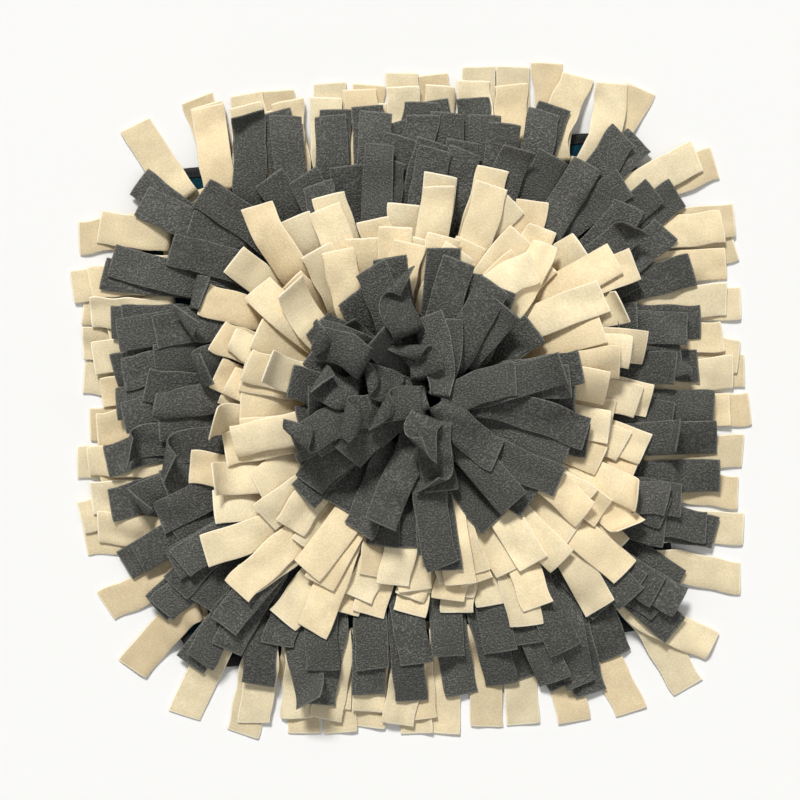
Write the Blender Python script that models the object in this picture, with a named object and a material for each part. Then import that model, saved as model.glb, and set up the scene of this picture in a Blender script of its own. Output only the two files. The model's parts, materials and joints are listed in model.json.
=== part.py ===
"""Snuffle mat: a square base cloth with a bound edge, and square rings of fleece strips sewn on it.

The strips of each ring stand up from a narrow seam tape and fall outwards over the rings
outside it, so each strip is laid in turn on what lies there already. Metres, +Z up. The
origin is at the centre of the mat's underside, with X and Y along its sides. Headings are
bearings in degrees, clockwise from +Y.
"""

import math
from collections import namedtuple

import bpy
import numpy as np

# Base cloth and its binding
MAT_SIDE = 0.375
MAT_CORNER = 0.039
CLOTH_THICKNESS = 0.003
BINDING_WIDTH = 0.008
BINDING_THICKNESS = 0.00375
CORNER_STEPS = 8
GAP = 0.0003

# Strips and the tapes that they are sewn to
STRIP_WIDTH = 0.025
STRIP_THICKNESS = 0.0014
TAPE_THICKNESS = 0.002
ROW_SPACING = 0.0044
TAPE_TOP = CLOTH_THICKNESS + GAP + TAPE_THICKNESS

# How fleece bends: it rises from its seam, arches over and droops until something holds it.
# It turns towards its heading over TURN_LENGTH, and DROOP is its tightest bend, as 1 / radius
RISE_HEIGHT = 0.007
RISE_REACH = 0.004
RISE_ANGLE = 62.0
LEVEL_FROM = 1.6 * RISE_REACH
TURN_LENGTH = 0.022
DROOP = 60.0
MOST_ROLL = 0.28
CURL_LENGTH = 0.030
CURL_STATIONS = 4

# How much one strip differs from the next; the lower row of a ring is the less even one
LAYING_SEED = 11
UNEVEN_HEADING = (6.0, 3.0)
UNEVEN_REACH = 0.004
UNEVEN_BEND = 4.0
UNEVEN_ROLL = 0.12
LOOSENESS = 0.0015
ARCH_SHARE = 0.87

# A strip's route is worked out at these places along it and across it, the margin included
ROUTE_STEPS = 60
ROUTE_COLUMNS = np.linspace(-0.54, 0.54, 13)
EDGE_COLUMNS = 5
ROLL_SMOOTHING = 9
RISE_SAMPLES = 40

# The height field of what lies on the surface so far, and how closely a strip's faces are sampled
FIELD_STEP = 0.001
FIELD_HALF = 0.300
COVER_SPACING = 0.0007
CHECK_SPACING = 0.0014
MOST_LIFTS = 12
NEAR_END = 0.2
CLEAR_ENOUGH = 1e-6

CREAM = (0.865, 0.73, 0.49)
CHARCOAL = (0.114, 0.114, 0.105)
TEAL = (0.004, 0.045, 0.07)
BLACK = (0.006, 0.006, 0.007)

# A ring's tape is a rounded square; its centre is (centre_x, centre_y)
Ring = namedtuple("Ring", "name colour centre_x centre_y half_side corner cells segments fans")

# A fan is a run of neighbouring cells, clockwise from the middle of the +Y side. Its headings
# go evenly from the first to the last; reach is how far the tips lie from the tape. second is
# the turn in degrees of the second strip sewn behind each, or None where there is only one.
# bend is how much a strip curves sideways on its way, and lift raises it in a loose arch.
# twist rolls the upper strip of a pair towards its tip, and curl bends its tip upwards, in degrees.
# more is how much further than the lower strip the upper one reaches.
Fan = namedtuple(
    "Fan", "cells first last reach second bend lift twist curl more", defaults=(None, 0, 0.0, 0, 0, 0.0)
)

OUTER_FANS = (
    Fan(4, 10, 0, 0.065, -4),
    Fan(1, 6, 6, 0.068, 14, 0, 0.0008),
    Fan(1, 40, 40, 0.066, -14, -18, 0.0008),
    Fan(1, 74, 74, 0.074, -6, 0, 0.0004),
    Fan(2, 87, 84, 0.078, 5, 0, 0.0012),
    Fan(4, 98, 96, 0.076, -5),
    Fan(4, 101, 97, 0.069),
    Fan(1, 147, 147, 0.076, -22, 0, 0.0012, -30),
    Fan(1, 168, 168, 0.074),
    Fan(4, 180, 186, 0.076),
    Fan(1, 185, 185, 0.077, 5),
    Fan(3, 184, 181, 0.065, 5),
    Fan(1, 196, 196, 0.065, -8),
    Fan(1, 207, 207, 0.061),
    Fan(2, 229, 249, 0.070, None, 0, 0.0004),
    Fan(3, 268, 263, 0.072, 6, 0, 0, 25),
    Fan(5, 275, 270, 0.064, -5),
    Fan(1, 276, 276, 0.058, 5, 0, 0.0004),
    Fan(1, 327, 327, 0.066, None, 0, 0.0004),
    Fan(1, 347, 347, 0.068, 5, 0, 0.0004),
    Fan(4, 355, 6, 0.065, -5),
)
SECOND_FANS = (
    Fan(3, 6, -3, 0.073, 5),
    Fan(1, 30, 30, 0.071, -6, 0, 0.0004),
    Fan(2, 50, 57, 0.077, -7, 0, 0.0008),
    Fan(1, 88, 88, 0.077, -34, -8, 0.0008),
    Fan(1, 93, 93, 0.077, 6),
    Fan(1, 95, 95, 0.075, 3, 0, 0.0004, 80),
    Fan(3, 97, 96, 0.081),
    Fan(1, 106, 106, 0.079, -6, 0, 0.0004),
    Fan(1, 140, 140, 0.081, -20, 0, 0.0008),
    Fan(2, 168, 161, 0.085, 6, 0, 0.0004),
    Fan(5, 177, 185, 0.075),
    Fan(1, 164, 164, 0.077),
    Fan(2, 226, 234, 0.071, -6, 0, 0.0008),
    Fan(3, 242, 266, 0.083, 6),
    Fan(3, 270, 272, 0.073, -6),
    Fan(1, 274, 274, 0.075, 12, 8, 0.0012),
    Fan(1, 312, 312, 0.073, -7, 0, 0.0012),
    Fan(1, 357, 357, 0.085),
    Fan(3, 356, 3, 0.079, 5),
)
THIRD_FANS = (
    Fan(2, 12, 8, 0.073, 9, 0, 0.0004),
    Fan(1, 13, 13, 0.078, 9, 0, 0.0004),
    Fan(1, 54, 54, 0.080, -14, 0, 0.0008),
    Fan(1, 52, 52, 0.084, 10, -16, 0.0012),
    Fan(1, 88, 88, 0.056, 4, 0, 0.0016, 0, 90),
    Fan(3, 97, 97, 0.080),
    Fan(1, 102, 102, 0.080, 8),
    Fan(1, 124, 124, 0.084, 16, 0, 0.0008),
    Fan(1, 162, 162, 0.080),
    Fan(5, 176, 184, 0.076),
    Fan(2, 216, 232, 0.080, 8, 0, 0.0008),
    Fan(2, 247, 262, 0.078),
    Fan(1, 280, 280, 0.076, -12, 10, 0.0008, 40),
    Fan(2, 272, 268, 0.062, -10, 0, 0.0008),
    Fan(1, 289, 289, 0.068, None, 0, 0.0008),
    Fan(1, 303, 303, 0.084, None, 0, 0.0008),
    Fan(1, 342, 342, 0.054, 4, 0, 0.005),
    Fan(1, 18, 18, 0.078, -10),
)
FOURTH_FANS = (
    Fan(1, 22, 22, 0.067, 3, -14, 0.0016),
    Fan(1, 30, 30, 0.073, 4, -14, 0.0016),
    Fan(1, 48, 48, 0.055, 18, -40, 0.0016, -50),
    Fan(1, 78, 78, 0.079, -8, 0, 0.0008),
    Fan(2, 98, 104, 0.077, 6),
    Fan(1, 112, 112, 0.073, 7),
    Fan(1, 138, 138, 0.087, -14),
    Fan(1, 158, 158, 0.093, -20),
    Fan(1, 168, 168, 0.079, -9),
    Fan(3, 186, 201, 0.063, 9, 0, 0.0004),
    Fan(1, 224, 224, 0.083, -17, 0, 0.0008),
    Fan(1, 262, 262, 0.085, -34),
    Fan(1, 282, 282, 0.073, -10, 0, 0.0008, 0, 70),
    Fan(1, 292, 292, 0.069, None, 0, 0.0008),
    Fan(2, 306, 308, 0.051, -9, 0, 0.0012, 30),
    Fan(1, 298, 298, 0.063, None, 0, 0.0012),
    Fan(1, 322, 322, 0.071, None, 22, 0.0016),
    Fan(1, 350, 350, 0.059, -8, 0, 0.0008),
    Fan(1, 347, 347, 0.041, None, 0, 0.0012),
)
FIFTH_FANS = (
    Fan(1, 26, 26, 0.047, 14, 0, 0.0016),
    Fan(1, 46, 46, 0.061, 12, 12, 0.0012),
    Fan(1, 70, 70, 0.077, -42, 0, 0.0016, 35),
    Fan(2, 96, 104, 0.073, 6),
    Fan(2, 128, 142, 0.079, 9),
    Fan(2, 162, 178, 0.071, 16, 0, 0.0004),
    Fan(1, 211, 211, 0.075, 14),
    Fan(1, 238, 238, 0.063, -18),
    Fan(1, 258, 258, 0.071, 8, 0, 0.0004),
    Fan(1, 284, 284, 0.059, 12, 0, 0.0012, 0, 70),
    Fan(1, 318, 318, 0.061, 15, 0, 0.0012),
    Fan(1, 338, 338, 0.051, 14, 0, 0.0012),
    Fan(1, 9, 9, 0.057, 14, 0, 0.0012, -20),
)
SIXTH_FANS = (
    Fan(1, 5, 5, 0.060, 18, 0, 0.0012),
    Fan(1, 28, 28, 0.044, 16, 0, 0.0016),
    Fan(1, 84, 84, 0.063, 7),
    Fan(1, 104, 104, 0.066, 10, 0, 0.0004),
    Fan(1, 128, 128, 0.054, 9, 0, 0.0004),
    Fan(1, 172, 172, 0.072, 12, 0, 0.0008),
    Fan(1, 196, 196, 0.060, 18, 0, 0.0008),
    Fan(1, 227, 227, 0.058, 15, 0, 0.0004),
    Fan(1, 294, 294, 0.046, -24, 0, 0.0012, 0, 60),
    Fan(1, 312, 312, 0.040, 22, 0, 0.0012, 40, 90),
    Fan(1, 355, 355, 0.056, -18, 0, 0.0016, -30),
)
SEVENTH_FANS = (
    Fan(1, 42, 42, 0.062, -39, 0, 0.0008, 0, 0, -0.026),
    Fan(1, 115, 115, 0.086, -35, 0, 0.0008, 0, 0, -0.008),
    Fan(1, 121, 121, 0.083, 24, 0, 0.0008, 0, 0, -0.008),
    Fan(1, 167, 167, 0.093, 36, 0, 0.0008, 0, 0, -0.010),
    Fan(1, 227, 227, 0.085, 16, 0, 0.0008, 0, 0, -0.016),
    Fan(1, 294, 294, 0.064, 23, 0, 0.0008, 0, 60, -0.022),
)
HUB_FANS = (
    Fan(1, 98, 98, 0.045, -115, 0, 0.0004, 0, 0, 0.014),
    Fan(1, 174, 174, 0.050, -59, 0, 0.0004, 0, 0, 0.012),
    Fan(1, 268, 268, 0.030, -45, 0, 0.0004, 0, 0, 0.044),
)

RINGS = (
    Ring("fringe_1_cream", CREAM, 0.0, 0.0, 0.166, 0.034, 46, 6, OUTER_FANS),
    Ring("fringe_2_charcoal", CHARCOAL, 0.0, 0.0, 0.135, 0.036, 36, 5, SECOND_FANS),
    Ring("fringe_3_charcoal", CHARCOAL, 0.0, 0.0, 0.109, 0.036, 28, 5, THIRD_FANS),
    Ring("fringe_4_cream", CREAM, 0.006, 0.0, 0.086, 0.035, 23, 5, FOURTH_FANS),
    Ring("fringe_5_cream", CREAM, 0.008, 0.0, 0.063, 0.034, 16, 6, FIFTH_FANS),
    Ring("fringe_6_charcoal", CHARCOAL, 0.012, -0.001, 0.044, 0.034, 11, 6, SIXTH_FANS),
    Ring("fringe_7_charcoal", CHARCOAL, 0.015, -0.001, 0.026, 0.026, 6, 6, SEVENTH_FANS),
    Ring("fringe_8_charcoal", CHARCOAL, 0.016, -0.001, 0.0133, 0.0133, 3, 6, HUB_FANS),
)


def unit(bearing):
    """The horizontal unit vector along a bearing in degrees."""
    angle = math.radians(bearing)
    return np.array([math.sin(angle), math.cos(angle), 0.0])


UP = np.array([0.0, 0.0, 1.0])


def loop_point(half_side, corner, distance):
    """The point of a rounded square that lies this far clockwise from the middle of its +Y side."""
    straight = half_side - corner
    arc = math.pi / 2 * corner
    side, along = divmod(distance, 2 * straight + arc)
    if along < straight:
        point = np.array([along, half_side, 0.0])
    elif along < straight + arc:
        turned = math.degrees((along - straight) / corner)
        point = np.array([straight, straight, 0.0]) + corner * unit(turned)
    else:
        point = np.array([half_side, 2 * straight + arc - along, 0.0])
    for _ in range(int(side) % 4):
        point = np.array([point[1], -point[0], 0.0])
    return point


def cell_frames(ring):
    """For each cell of a ring's tape: its inner edge's middle, its side direction and its outward one."""
    length = 8 * ring.half_side - (8 - 2 * math.pi) * ring.corner
    centre = np.array([ring.centre_x, ring.centre_y, 0.0])
    frames = []
    for cell in range(ring.cells):
        middle = (cell + 0.5) / ring.cells * length
        start = loop_point(ring.half_side, ring.corner, middle - STRIP_WIDTH / 2)
        end = loop_point(ring.half_side, ring.corner, middle + STRIP_WIDTH / 2)
        side = (end - start) / np.linalg.norm(end - start)
        frames.append((centre + (start + end) / 2, side, np.array([-side[1], side[0], 0.0])))
    return frames


def turn_between(start, end):
    """The shorter turn from one bearing to another, in degrees."""
    return (end - start + 180) % 360 - 180


class Field:
    """The height of what lies on the surface so far, on a square grid of points."""

    def __init__(self):
        count = int(round(2 * FIELD_HALF / FIELD_STEP)) + 1
        # A strip on the bare floor touches it, and one on anything else keeps the gap
        self.height = np.full((count, count), -GAP)

    def index(self, x, y):
        return (
            np.rint((x + FIELD_HALF) / FIELD_STEP).astype(int),
            np.rint((y + FIELD_HALF) / FIELD_STEP).astype(int),
        )

    def at(self, x, y):
        return self.height[self.index(x, y)]

    def cover(self, points):
        """Raises the field to these surface points, with a margin of one step round each."""
        column, row = self.index(points[:, 0], points[:, 1])
        low_column, low_row = column.min() - 1, row.min() - 1
        patch = np.full((column.max() - low_column + 2, row.max() - low_row + 2), -1.0)
        np.maximum.at(patch, (column - low_column, row - low_row), points[:, 2])
        widened = patch.copy()
        for shift in (-1, 1):
            widened = np.maximum(widened, np.roll(patch, shift, axis=0))
        patch = widened.copy()
        for shift in (-1, 1):
            widened = np.maximum(widened, np.roll(patch, shift, axis=1))
        window = (
            slice(low_column, low_column + patch.shape[0]),
            slice(low_row, low_row + patch.shape[1]),
        )
        self.height[window] = np.maximum(self.height[window], widened)


class Strip:
    """One fleece strip: where its root is, which way it heads, and how far."""

    def __init__(self, root, side, out, heading, reach, bend, lift, roll, curl):
        self.root = root
        self.side = side
        self.out = out
        self.heading = heading
        self.reach = reach
        self.bend = bend
        self.lift = lift
        self.roll = roll
        self.curl = curl


def plan_route(strip):
    """Points, side directions and distances along a strip's centre line, seen from above."""
    normal = math.degrees(math.atan2(strip.out[0], strip.out[1]))
    turn = turn_between(normal, strip.heading)
    distances = np.linspace(0.0, strip.reach, ROUTE_STEPS + 1)
    eased = np.clip(distances / TURN_LENGTH, 0, 1)
    eased = eased * eased * (3 - 2 * eased)
    bearings = np.radians(normal + turn * eased + strip.bend * (distances / strip.reach) ** 2)
    ahead = np.stack([np.sin(bearings), np.cos(bearings), np.zeros_like(bearings)], axis=1)
    sides = np.stack([np.cos(bearings), -np.sin(bearings), np.zeros_like(bearings)], axis=1)
    middles = (ahead[:-1] + ahead[1:]) / 2 * (strip.reach / ROUTE_STEPS)
    points = strip.root + np.concatenate([np.zeros((1, 3)), np.cumsum(middles, axis=0)])
    return points, sides, distances


def smooth(values, width):
    """A moving average over this many values, with the ends held."""
    padded = np.pad(values, width // 2, mode="edge")
    return np.convolve(padded, np.full(width, 1 / width), mode="valid")[: len(values)]


def lie(strip, field):
    """Height and sideways roll along a strip that arches and droops over what lies there."""
    points, sides, distances = plan_route(strip)
    across = ROUTE_COLUMNS * STRIP_WIDTH
    x = points[:, 0:1] + sides[:, 0:1] * across
    y = points[:, 1:2] + sides[:, 1:2] * across
    below = field.at(x, y)
    left = below[:, :EDGE_COLUMNS].max(axis=1)
    right = below[:, -EDGE_COLUMNS:].max(axis=1)
    roll = np.clip(smooth((right - left) / STRIP_WIDTH, ROLL_SMOOTHING), -MOST_ROLL, MOST_ROLL)
    roll = roll * np.clip(distances / TURN_LENGTH, 0, 1)
    needed = (below + GAP - roll[:, None] * across).max(axis=1) + STRIP_THICKNESS / 2
    rise = strip.root[2] + RISE_HEIGHT
    needed = np.where(abs(distances - RISE_REACH) < RISE_REACH / 2, np.maximum(needed, rise), needed)
    apart = distances[:, None] - distances[None, :]
    held = (needed[None, :] - DROOP / 2 * apart * apart).max(axis=1)
    progress = distances / strip.reach
    held = held + strip.lift * np.sin(np.pi * np.clip(progress / ARCH_SHARE, 0, 1)) ** 2
    over = np.interp(RISE_REACH, distances, held)
    quarter = np.arccos(np.clip(1 - distances / RISE_REACH, -1, 1))
    rising = strip.root[2] + (over - strip.root[2]) * np.sin(quarter)
    heights = np.where(distances < RISE_REACH, rising, held)
    return points, sides, distances, heights, roll + strip.roll * progress**2


def curl_up(strip, centres, start):
    """Bends the stations past this one upwards, and back over the strip where the curl is large."""
    steps = np.diff(centres[start:], axis=0)
    turns = strip.curl * (np.arange(len(steps)) + 1) / len(steps)
    for k, (step, turn) in enumerate(zip(steps, turns)):
        ahead = np.array([step[0], step[1], 0.0])
        length = np.linalg.norm(step)
        pitch = math.atan2(step[2], np.linalg.norm(ahead)) + turn
        ahead = ahead / np.linalg.norm(ahead)
        step = (ahead * math.cos(pitch) + UP * math.sin(pitch)) * length
        centres[start + k + 1] = centres[start + k] + step


def stations(strip, field, segments):
    """Centre points, sides and rolls at the root, in the rise, and evenly along the rest."""
    points, sides, distances, heights, roll = lie(strip, field)
    first = RISE_REACH * (1 - math.cos(math.radians(RISE_ANGLE)))
    rest = np.linspace(LEVEL_FROM, strip.reach, segments - 1)
    if strip.curl:
        flat = np.linspace(LEVEL_FROM, strip.reach - CURL_LENGTH, segments - 2)
        left_over = np.linspace(1, 0, CURL_STATIONS + 1)[1:]
        rest = np.concatenate([flat, strip.reach - CURL_LENGTH * left_over])
    places = np.concatenate([[0.0, first], rest])
    centres = np.stack(
        [
            np.interp(places, distances, points[:, 0]),
            np.interp(places, distances, points[:, 1]),
            np.interp(places, distances, heights),
        ],
        axis=1,
    )
    fine = np.linspace(0, RISE_REACH, RISE_SAMPLES)
    over = np.interp(RISE_REACH, distances, heights)
    rising = strip.root[2] + (over - strip.root[2]) * np.sin(np.arccos(1 - fine / RISE_REACH))
    centres[1, 2] = np.interp(first, fine, rising)
    station_sides = np.stack([np.interp(places, distances, sides[:, axis]) for axis in range(3)], axis=1)
    if strip.curl:
        curl_up(strip, centres, int(np.searchsorted(places, strip.reach - CURL_LENGTH)) - 1)
    return centres, station_sides, np.interp(places, distances, roll)


def ribbon(centres, sides, rolls):
    """Four corner points at each station: right and left on the upper face, left and right below."""
    steps = np.diff(centres, axis=0)
    steps = steps / np.linalg.norm(steps, axis=1)[:, None]
    tangents = np.concatenate([[UP], steps[:-1] + steps[1:], steps[-1:]])
    tangents = tangents / np.linalg.norm(tangents, axis=1)[:, None]
    across = sides * np.cos(rolls)[:, None] + UP * np.sin(rolls)[:, None]
    across = across - tangents * (across * tangents).sum(axis=1)[:, None]
    across = across / np.linalg.norm(across, axis=1)[:, None]
    normals = np.cross(across, tangents)
    half_width, half_thick = across * STRIP_WIDTH / 2, normals * STRIP_THICKNESS / 2
    return np.stack(
        [
            centres + half_width + half_thick,
            centres - half_width + half_thick,
            centres - half_width - half_thick,
            centres + half_width - half_thick,
        ],
        axis=1,
    )


def surface(start_a, start_b, end_a, end_b, spacing=COVER_SPACING):
    """Points over the two triangles of a strip's face, with how far along it each one is."""
    length = max(np.linalg.norm(end_a - start_a), np.linalg.norm(end_b - start_b))
    rows = max(2, int(length / spacing) + 2)
    columns = max(2, int(np.linalg.norm(start_b - start_a) / spacing) + 2)
    along, across = np.meshgrid(np.linspace(0, 1, rows), np.linspace(0, 1, columns), indexing="ij")
    along, across = along.reshape(-1, 1), across.reshape(-1, 1)
    near = start_a + along * (end_a - start_a) + across * (end_b - end_a)
    far = start_a + across * (start_b - start_a) + along * (end_b - start_b)
    return np.where(along >= across, near, far), along[:, 0]


def lay(strip, field, segments):
    """The corner points of a strip that lies clear of everything laid before it."""
    centres, sides, rolls = stations(strip, field, segments)
    for _ in range(MOST_LIFTS):
        corners = ribbon(centres, sides, rolls)
        lift = np.zeros(len(centres))
        for segment in range(1, len(centres) - 1):
            here, there = corners[segment], corners[segment + 1]
            for a, b in ((0, 1), (2, 3)):
                points, along = surface(here[a], here[b], there[a], there[b], CHECK_SPACING)
                short = field.at(points[:, 0], points[:, 1]) + GAP - points[:, 2]
                lift[segment] = max(lift[segment], (short * (along < 1 - NEAR_END)).max())
                lift[segment + 1] = max(lift[segment + 1], (short * (along > NEAR_END)).max())
        if lift.max() < CLEAR_ENOUGH:
            break
        centres[:, 2] += lift
    for segment in range(len(centres) - 1):
        here, there = corners[segment], corners[segment + 1]
        for a, b in ((0, 1), (2, 3)):
            field.cover(surface(here[a], here[b], there[a], there[b])[0])
    return corners


def strips_of(ring, frames, chance):
    """The lower and upper rows of a ring's strips, each a dict from cell number to strip."""
    rows = ({}, {})
    cell = 0
    for fan in ring.fans:
        for number in range(fan.cells):
            middle, side, out = frames[cell]
            normal = math.degrees(math.atan2(out[0], out[1]))
            share = number / max(1, fan.cells - 1)
            heading = fan.first + turn_between(fan.first, fan.last) * share
            for row, extra in ((0, 0), (1, fan.second)):
                if extra is None:
                    continue
                # The lower strip of a pair is sewn along the tape's outer edge
                offset = STRIP_THICKNESS / 2 + (ROW_SPACING if row == 0 else 0)
                # A strip that heads back over its tape bends the other way from its seam
                way = -1 if abs(turn_between(normal, heading + extra)) > 90 else 1
                rows[row][cell] = Strip(
                    middle + out * offset + UP * TAPE_TOP,
                    side * way,
                    out * way,
                    heading + extra + chance.uniform(-1, 1) * UNEVEN_HEADING[row],
                    fan.reach + fan.more * row + offset + chance.uniform(-1, 1) * UNEVEN_REACH,
                    fan.bend + chance.uniform(-1, 1) * UNEVEN_BEND,
                    fan.lift + chance.uniform(0, 1) * LOOSENESS,
                    chance.uniform(-1, 1) * UNEVEN_ROLL + math.radians(fan.twist) * row,
                    math.radians(fan.curl) * row,
                )
            cell += 1
    return rows


def tape_lines(frames):
    """Points of a tape's section at both ends of each cell, from its inner edge to its outer one."""
    offsets = (0, STRIP_THICKNESS, ROW_SPACING, ROW_SPACING + STRIP_THICKNESS)
    lines = []
    for middle, side, out in frames:
        for end in (-1, 1):
            edge = middle + side * end * STRIP_WIDTH / 2
            top = [edge + out * offset + UP * TAPE_TOP for offset in offsets]
            lines.append(top + [top[3] - UP * TAPE_THICKNESS, top[0] - UP * TAPE_THICKNESS])
    return np.array(lines)


def fringe_mesh(frames, laid):
    """Vertices and faces of a tape with its strips grown out of the root faces on its top."""
    lines = tape_lines(frames)
    count = len(lines)
    vertices = [tuple(point) for line in lines for point in line]
    faces = []
    for line in range(count):
        following = (line + 1) % count
        cell, is_cell = divmod(line, 2)[0], line % 2 == 0
        for step in range(6):
            row = {0: 1, 2: 0}.get(step)
            if is_cell and row is not None and cell in laid[row]:
                continue
            a, b = line * 6 + step, line * 6 + (step + 1) % 6
            faces.append((a, following * 6 + step, following * 6 + (step + 1) % 6, b))
    for row, step in ((1, 0), (0, 2)):
        for cell, corners in laid[row].items():
            start, end = 2 * cell * 6, (2 * cell + 1) * 6
            # Right and left on the upper face, which at the root faces away from the heading, then below
            ring_below = [end + step, start + step, start + step + 1, end + step + 1]
            if np.dot(corners[0][0] - corners[0][1], frames[cell][1]) < 0:
                ring_below = ring_below[2:] + ring_below[:2]
            for station in corners[1:]:
                first = len(vertices)
                vertices.extend(tuple(point) for point in station)
                ring_above = list(range(first, first + 4))
                for k in range(4):
                    n = (k + 1) % 4
                    quad = (ring_below[k], ring_above[k], ring_above[n], ring_below[n])
                    faces.append(quad[:3])
                    faces.append((quad[0], quad[2], quad[3]))
                ring_below = ring_above
            faces.append(tuple(reversed(ring_below)))
    return vertices, faces


def rounded_square(half_side, corner, height):
    """Points of a rounded square, counterclockwise seen from above."""
    points = []
    for quarter in range(4):
        for step in range(CORNER_STEPS + 1):
            angle = math.pi / 2 * (quarter + step / CORNER_STEPS)
            centre_x = (half_side - corner) * (1 if quarter in (0, 3) else -1)
            centre_y = (half_side - corner) * (1 if quarter in (0, 1) else -1)
            x = centre_x + corner * math.cos(angle)
            y = centre_y + corner * math.sin(angle)
            points.append((x, y, height))
    return points


def base_cloth_mesh():
    """The flat cloth panel, cut to the inner edge of its binding."""
    half_side = MAT_SIDE / 2 - BINDING_WIDTH - GAP
    corner = MAT_CORNER - BINDING_WIDTH - GAP
    below = rounded_square(half_side, corner, 0.0)
    above = rounded_square(half_side, corner, CLOTH_THICKNESS)
    count = len(below)
    faces = [tuple(reversed(range(count))), tuple(range(count, 2 * count))]
    faces += [(k, (k + 1) % count, count + (k + 1) % count, count + k) for k in range(count)]
    return below + above, faces


def binding_mesh():
    """The bound edge: a folded band round the cloth, a little thicker than the cloth and eased on top."""
    # How far in from the mat's outline each line of the section runs, and its height
    section = (
        (0.0, 0.0),
        (0.0, CLOTH_THICKNESS * 0.8),
        (BINDING_WIDTH * 0.25, BINDING_THICKNESS),
        (BINDING_WIDTH * 0.8, BINDING_THICKNESS),
        (BINDING_WIDTH, CLOTH_THICKNESS),
        (BINDING_WIDTH, 0.0),
    )
    vertices = []
    for inward, height in section:
        vertices += rounded_square(MAT_SIDE / 2 - inward, MAT_CORNER - inward, height)
    count = len(vertices) // len(section)
    faces = []
    for line in range(len(section)):
        following = (line + 1) % len(section)
        for k in range(count):
            n = (k + 1) % count
            faces.append((line * count + k, line * count + n, following * count + n, following * count + k))
    return vertices, faces


def lay_base(field, all_frames):
    """Puts the base cloth, its binding and the tapes into the height field."""
    places = np.linspace(-FIELD_HALF, FIELD_HALF, field.height.shape[0])
    x, y = np.meshgrid(abs(places), abs(places), indexing="ij")
    straight = MAT_SIDE / 2 - MAT_CORNER
    beyond = np.hypot(np.maximum(x - straight, 0), np.maximum(y - straight, 0)) - MAT_CORNER
    field.height[beyond < FIELD_STEP] = BINDING_THICKNESS
    field.height[beyond < -BINDING_WIDTH - FIELD_STEP] = CLOTH_THICKNESS
    width = ROW_SPACING + STRIP_THICKNESS
    for frames in all_frames:
        for middle, side, out in frames:
            start = middle - side * STRIP_WIDTH / 2 + UP * TAPE_TOP
            end = start + side * STRIP_WIDTH
            field.cover(surface(start, end, start + out * width, end + out * width)[0])


def material(name, colour, roughness):
    made = bpy.data.materials.new(name)
    made.use_nodes = True
    shader = made.node_tree.nodes["Principled BSDF"]
    shader.inputs["Base Color"].default_value = (*colour, 1.0)
    shader.inputs["Roughness"].default_value = roughness
    shader.inputs["Metallic"].default_value = 0.0
    return made


def add_object(name, vertices, faces, made_of):
    mesh = bpy.data.meshes.new(name)
    mesh.from_pydata(vertices, [], faces)
    mesh.materials.append(made_of)
    bpy.context.scene.collection.objects.link(bpy.data.objects.new(name, mesh))


def build():
    for obj in list(bpy.data.objects):
        bpy.data.objects.remove(obj)
    add_object("base_cloth", *base_cloth_mesh(), material("base_fleece", TEAL, 0.9))
    add_object("edge_binding", *binding_mesh(), material("binding_tape", BLACK, 0.8))
    fleece = {
        CREAM: material("cream_fleece", CREAM, 0.95),
        CHARCOAL: material("charcoal_fleece", CHARCOAL, 0.95),
    }
    ring_frames = [cell_frames(ring) for ring in RINGS]
    field = Field()
    lay_base(field, ring_frames)
    for number, (ring, frames) in enumerate(zip(RINGS, ring_frames)):
        chance = np.random.default_rng(LAYING_SEED + 1 + number)
        laid = []
        for row in strips_of(ring, frames, chance):
            order = chance.permutation(list(row))
            laid.append({cell: lay(row[cell], field, ring.segments) for cell in order})
        add_object(ring.name, *fringe_mesh(frames, laid), fleece[ring.colour])


build()
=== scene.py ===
"""Snuffle mat: a teal fleece base with a black bound edge, and eight square rings of fleece strips.

Metres, +Z up, origin at the centre of the mat's underside. Headings are bearings in degrees,
clockwise from +Y. The mat is put together from the base outwards: cloth, binding, then each fringe.
"""

import json
import math
from collections import namedtuple

import bpy
import numpy as np
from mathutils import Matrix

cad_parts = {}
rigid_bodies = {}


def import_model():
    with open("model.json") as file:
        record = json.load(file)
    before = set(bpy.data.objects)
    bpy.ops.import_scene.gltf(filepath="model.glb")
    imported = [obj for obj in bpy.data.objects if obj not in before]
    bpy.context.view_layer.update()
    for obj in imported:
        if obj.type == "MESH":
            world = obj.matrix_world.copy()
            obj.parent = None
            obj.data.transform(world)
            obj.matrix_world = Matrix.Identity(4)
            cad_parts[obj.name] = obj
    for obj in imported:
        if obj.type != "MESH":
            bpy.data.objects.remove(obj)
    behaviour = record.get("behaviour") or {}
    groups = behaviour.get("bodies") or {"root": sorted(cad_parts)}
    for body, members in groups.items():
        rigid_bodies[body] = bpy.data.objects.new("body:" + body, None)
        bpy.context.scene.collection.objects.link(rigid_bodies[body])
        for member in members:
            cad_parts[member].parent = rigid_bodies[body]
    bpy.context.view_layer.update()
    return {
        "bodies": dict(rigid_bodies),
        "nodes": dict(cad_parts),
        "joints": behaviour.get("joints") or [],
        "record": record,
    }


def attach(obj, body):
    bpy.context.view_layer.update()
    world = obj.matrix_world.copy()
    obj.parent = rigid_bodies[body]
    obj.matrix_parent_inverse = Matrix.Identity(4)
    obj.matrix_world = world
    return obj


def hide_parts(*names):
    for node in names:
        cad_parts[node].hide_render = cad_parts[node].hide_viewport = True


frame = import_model()

# ---- Floor, light and camera ----
# A plain white sweep under soft studio light, seen from straight above. The mat lies turned
# five degrees against the camera.

FLOOR_SIDE = 6.0
FLOOR_COLOUR = (0.90, 0.905, 0.91, 1.0)
CAMERA_HEIGHT = 1.63
CAMERA_PLACE = (-0.0052, 0.0005)
CAMERA_TURN = -5.0
VIEW_HALF = 0.3
SENSOR_WIDTH = 36.0


def new_object(name, mesh):
    made = bpy.data.objects.new(name, mesh)
    bpy.context.scene.collection.objects.link(made)
    return made


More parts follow.
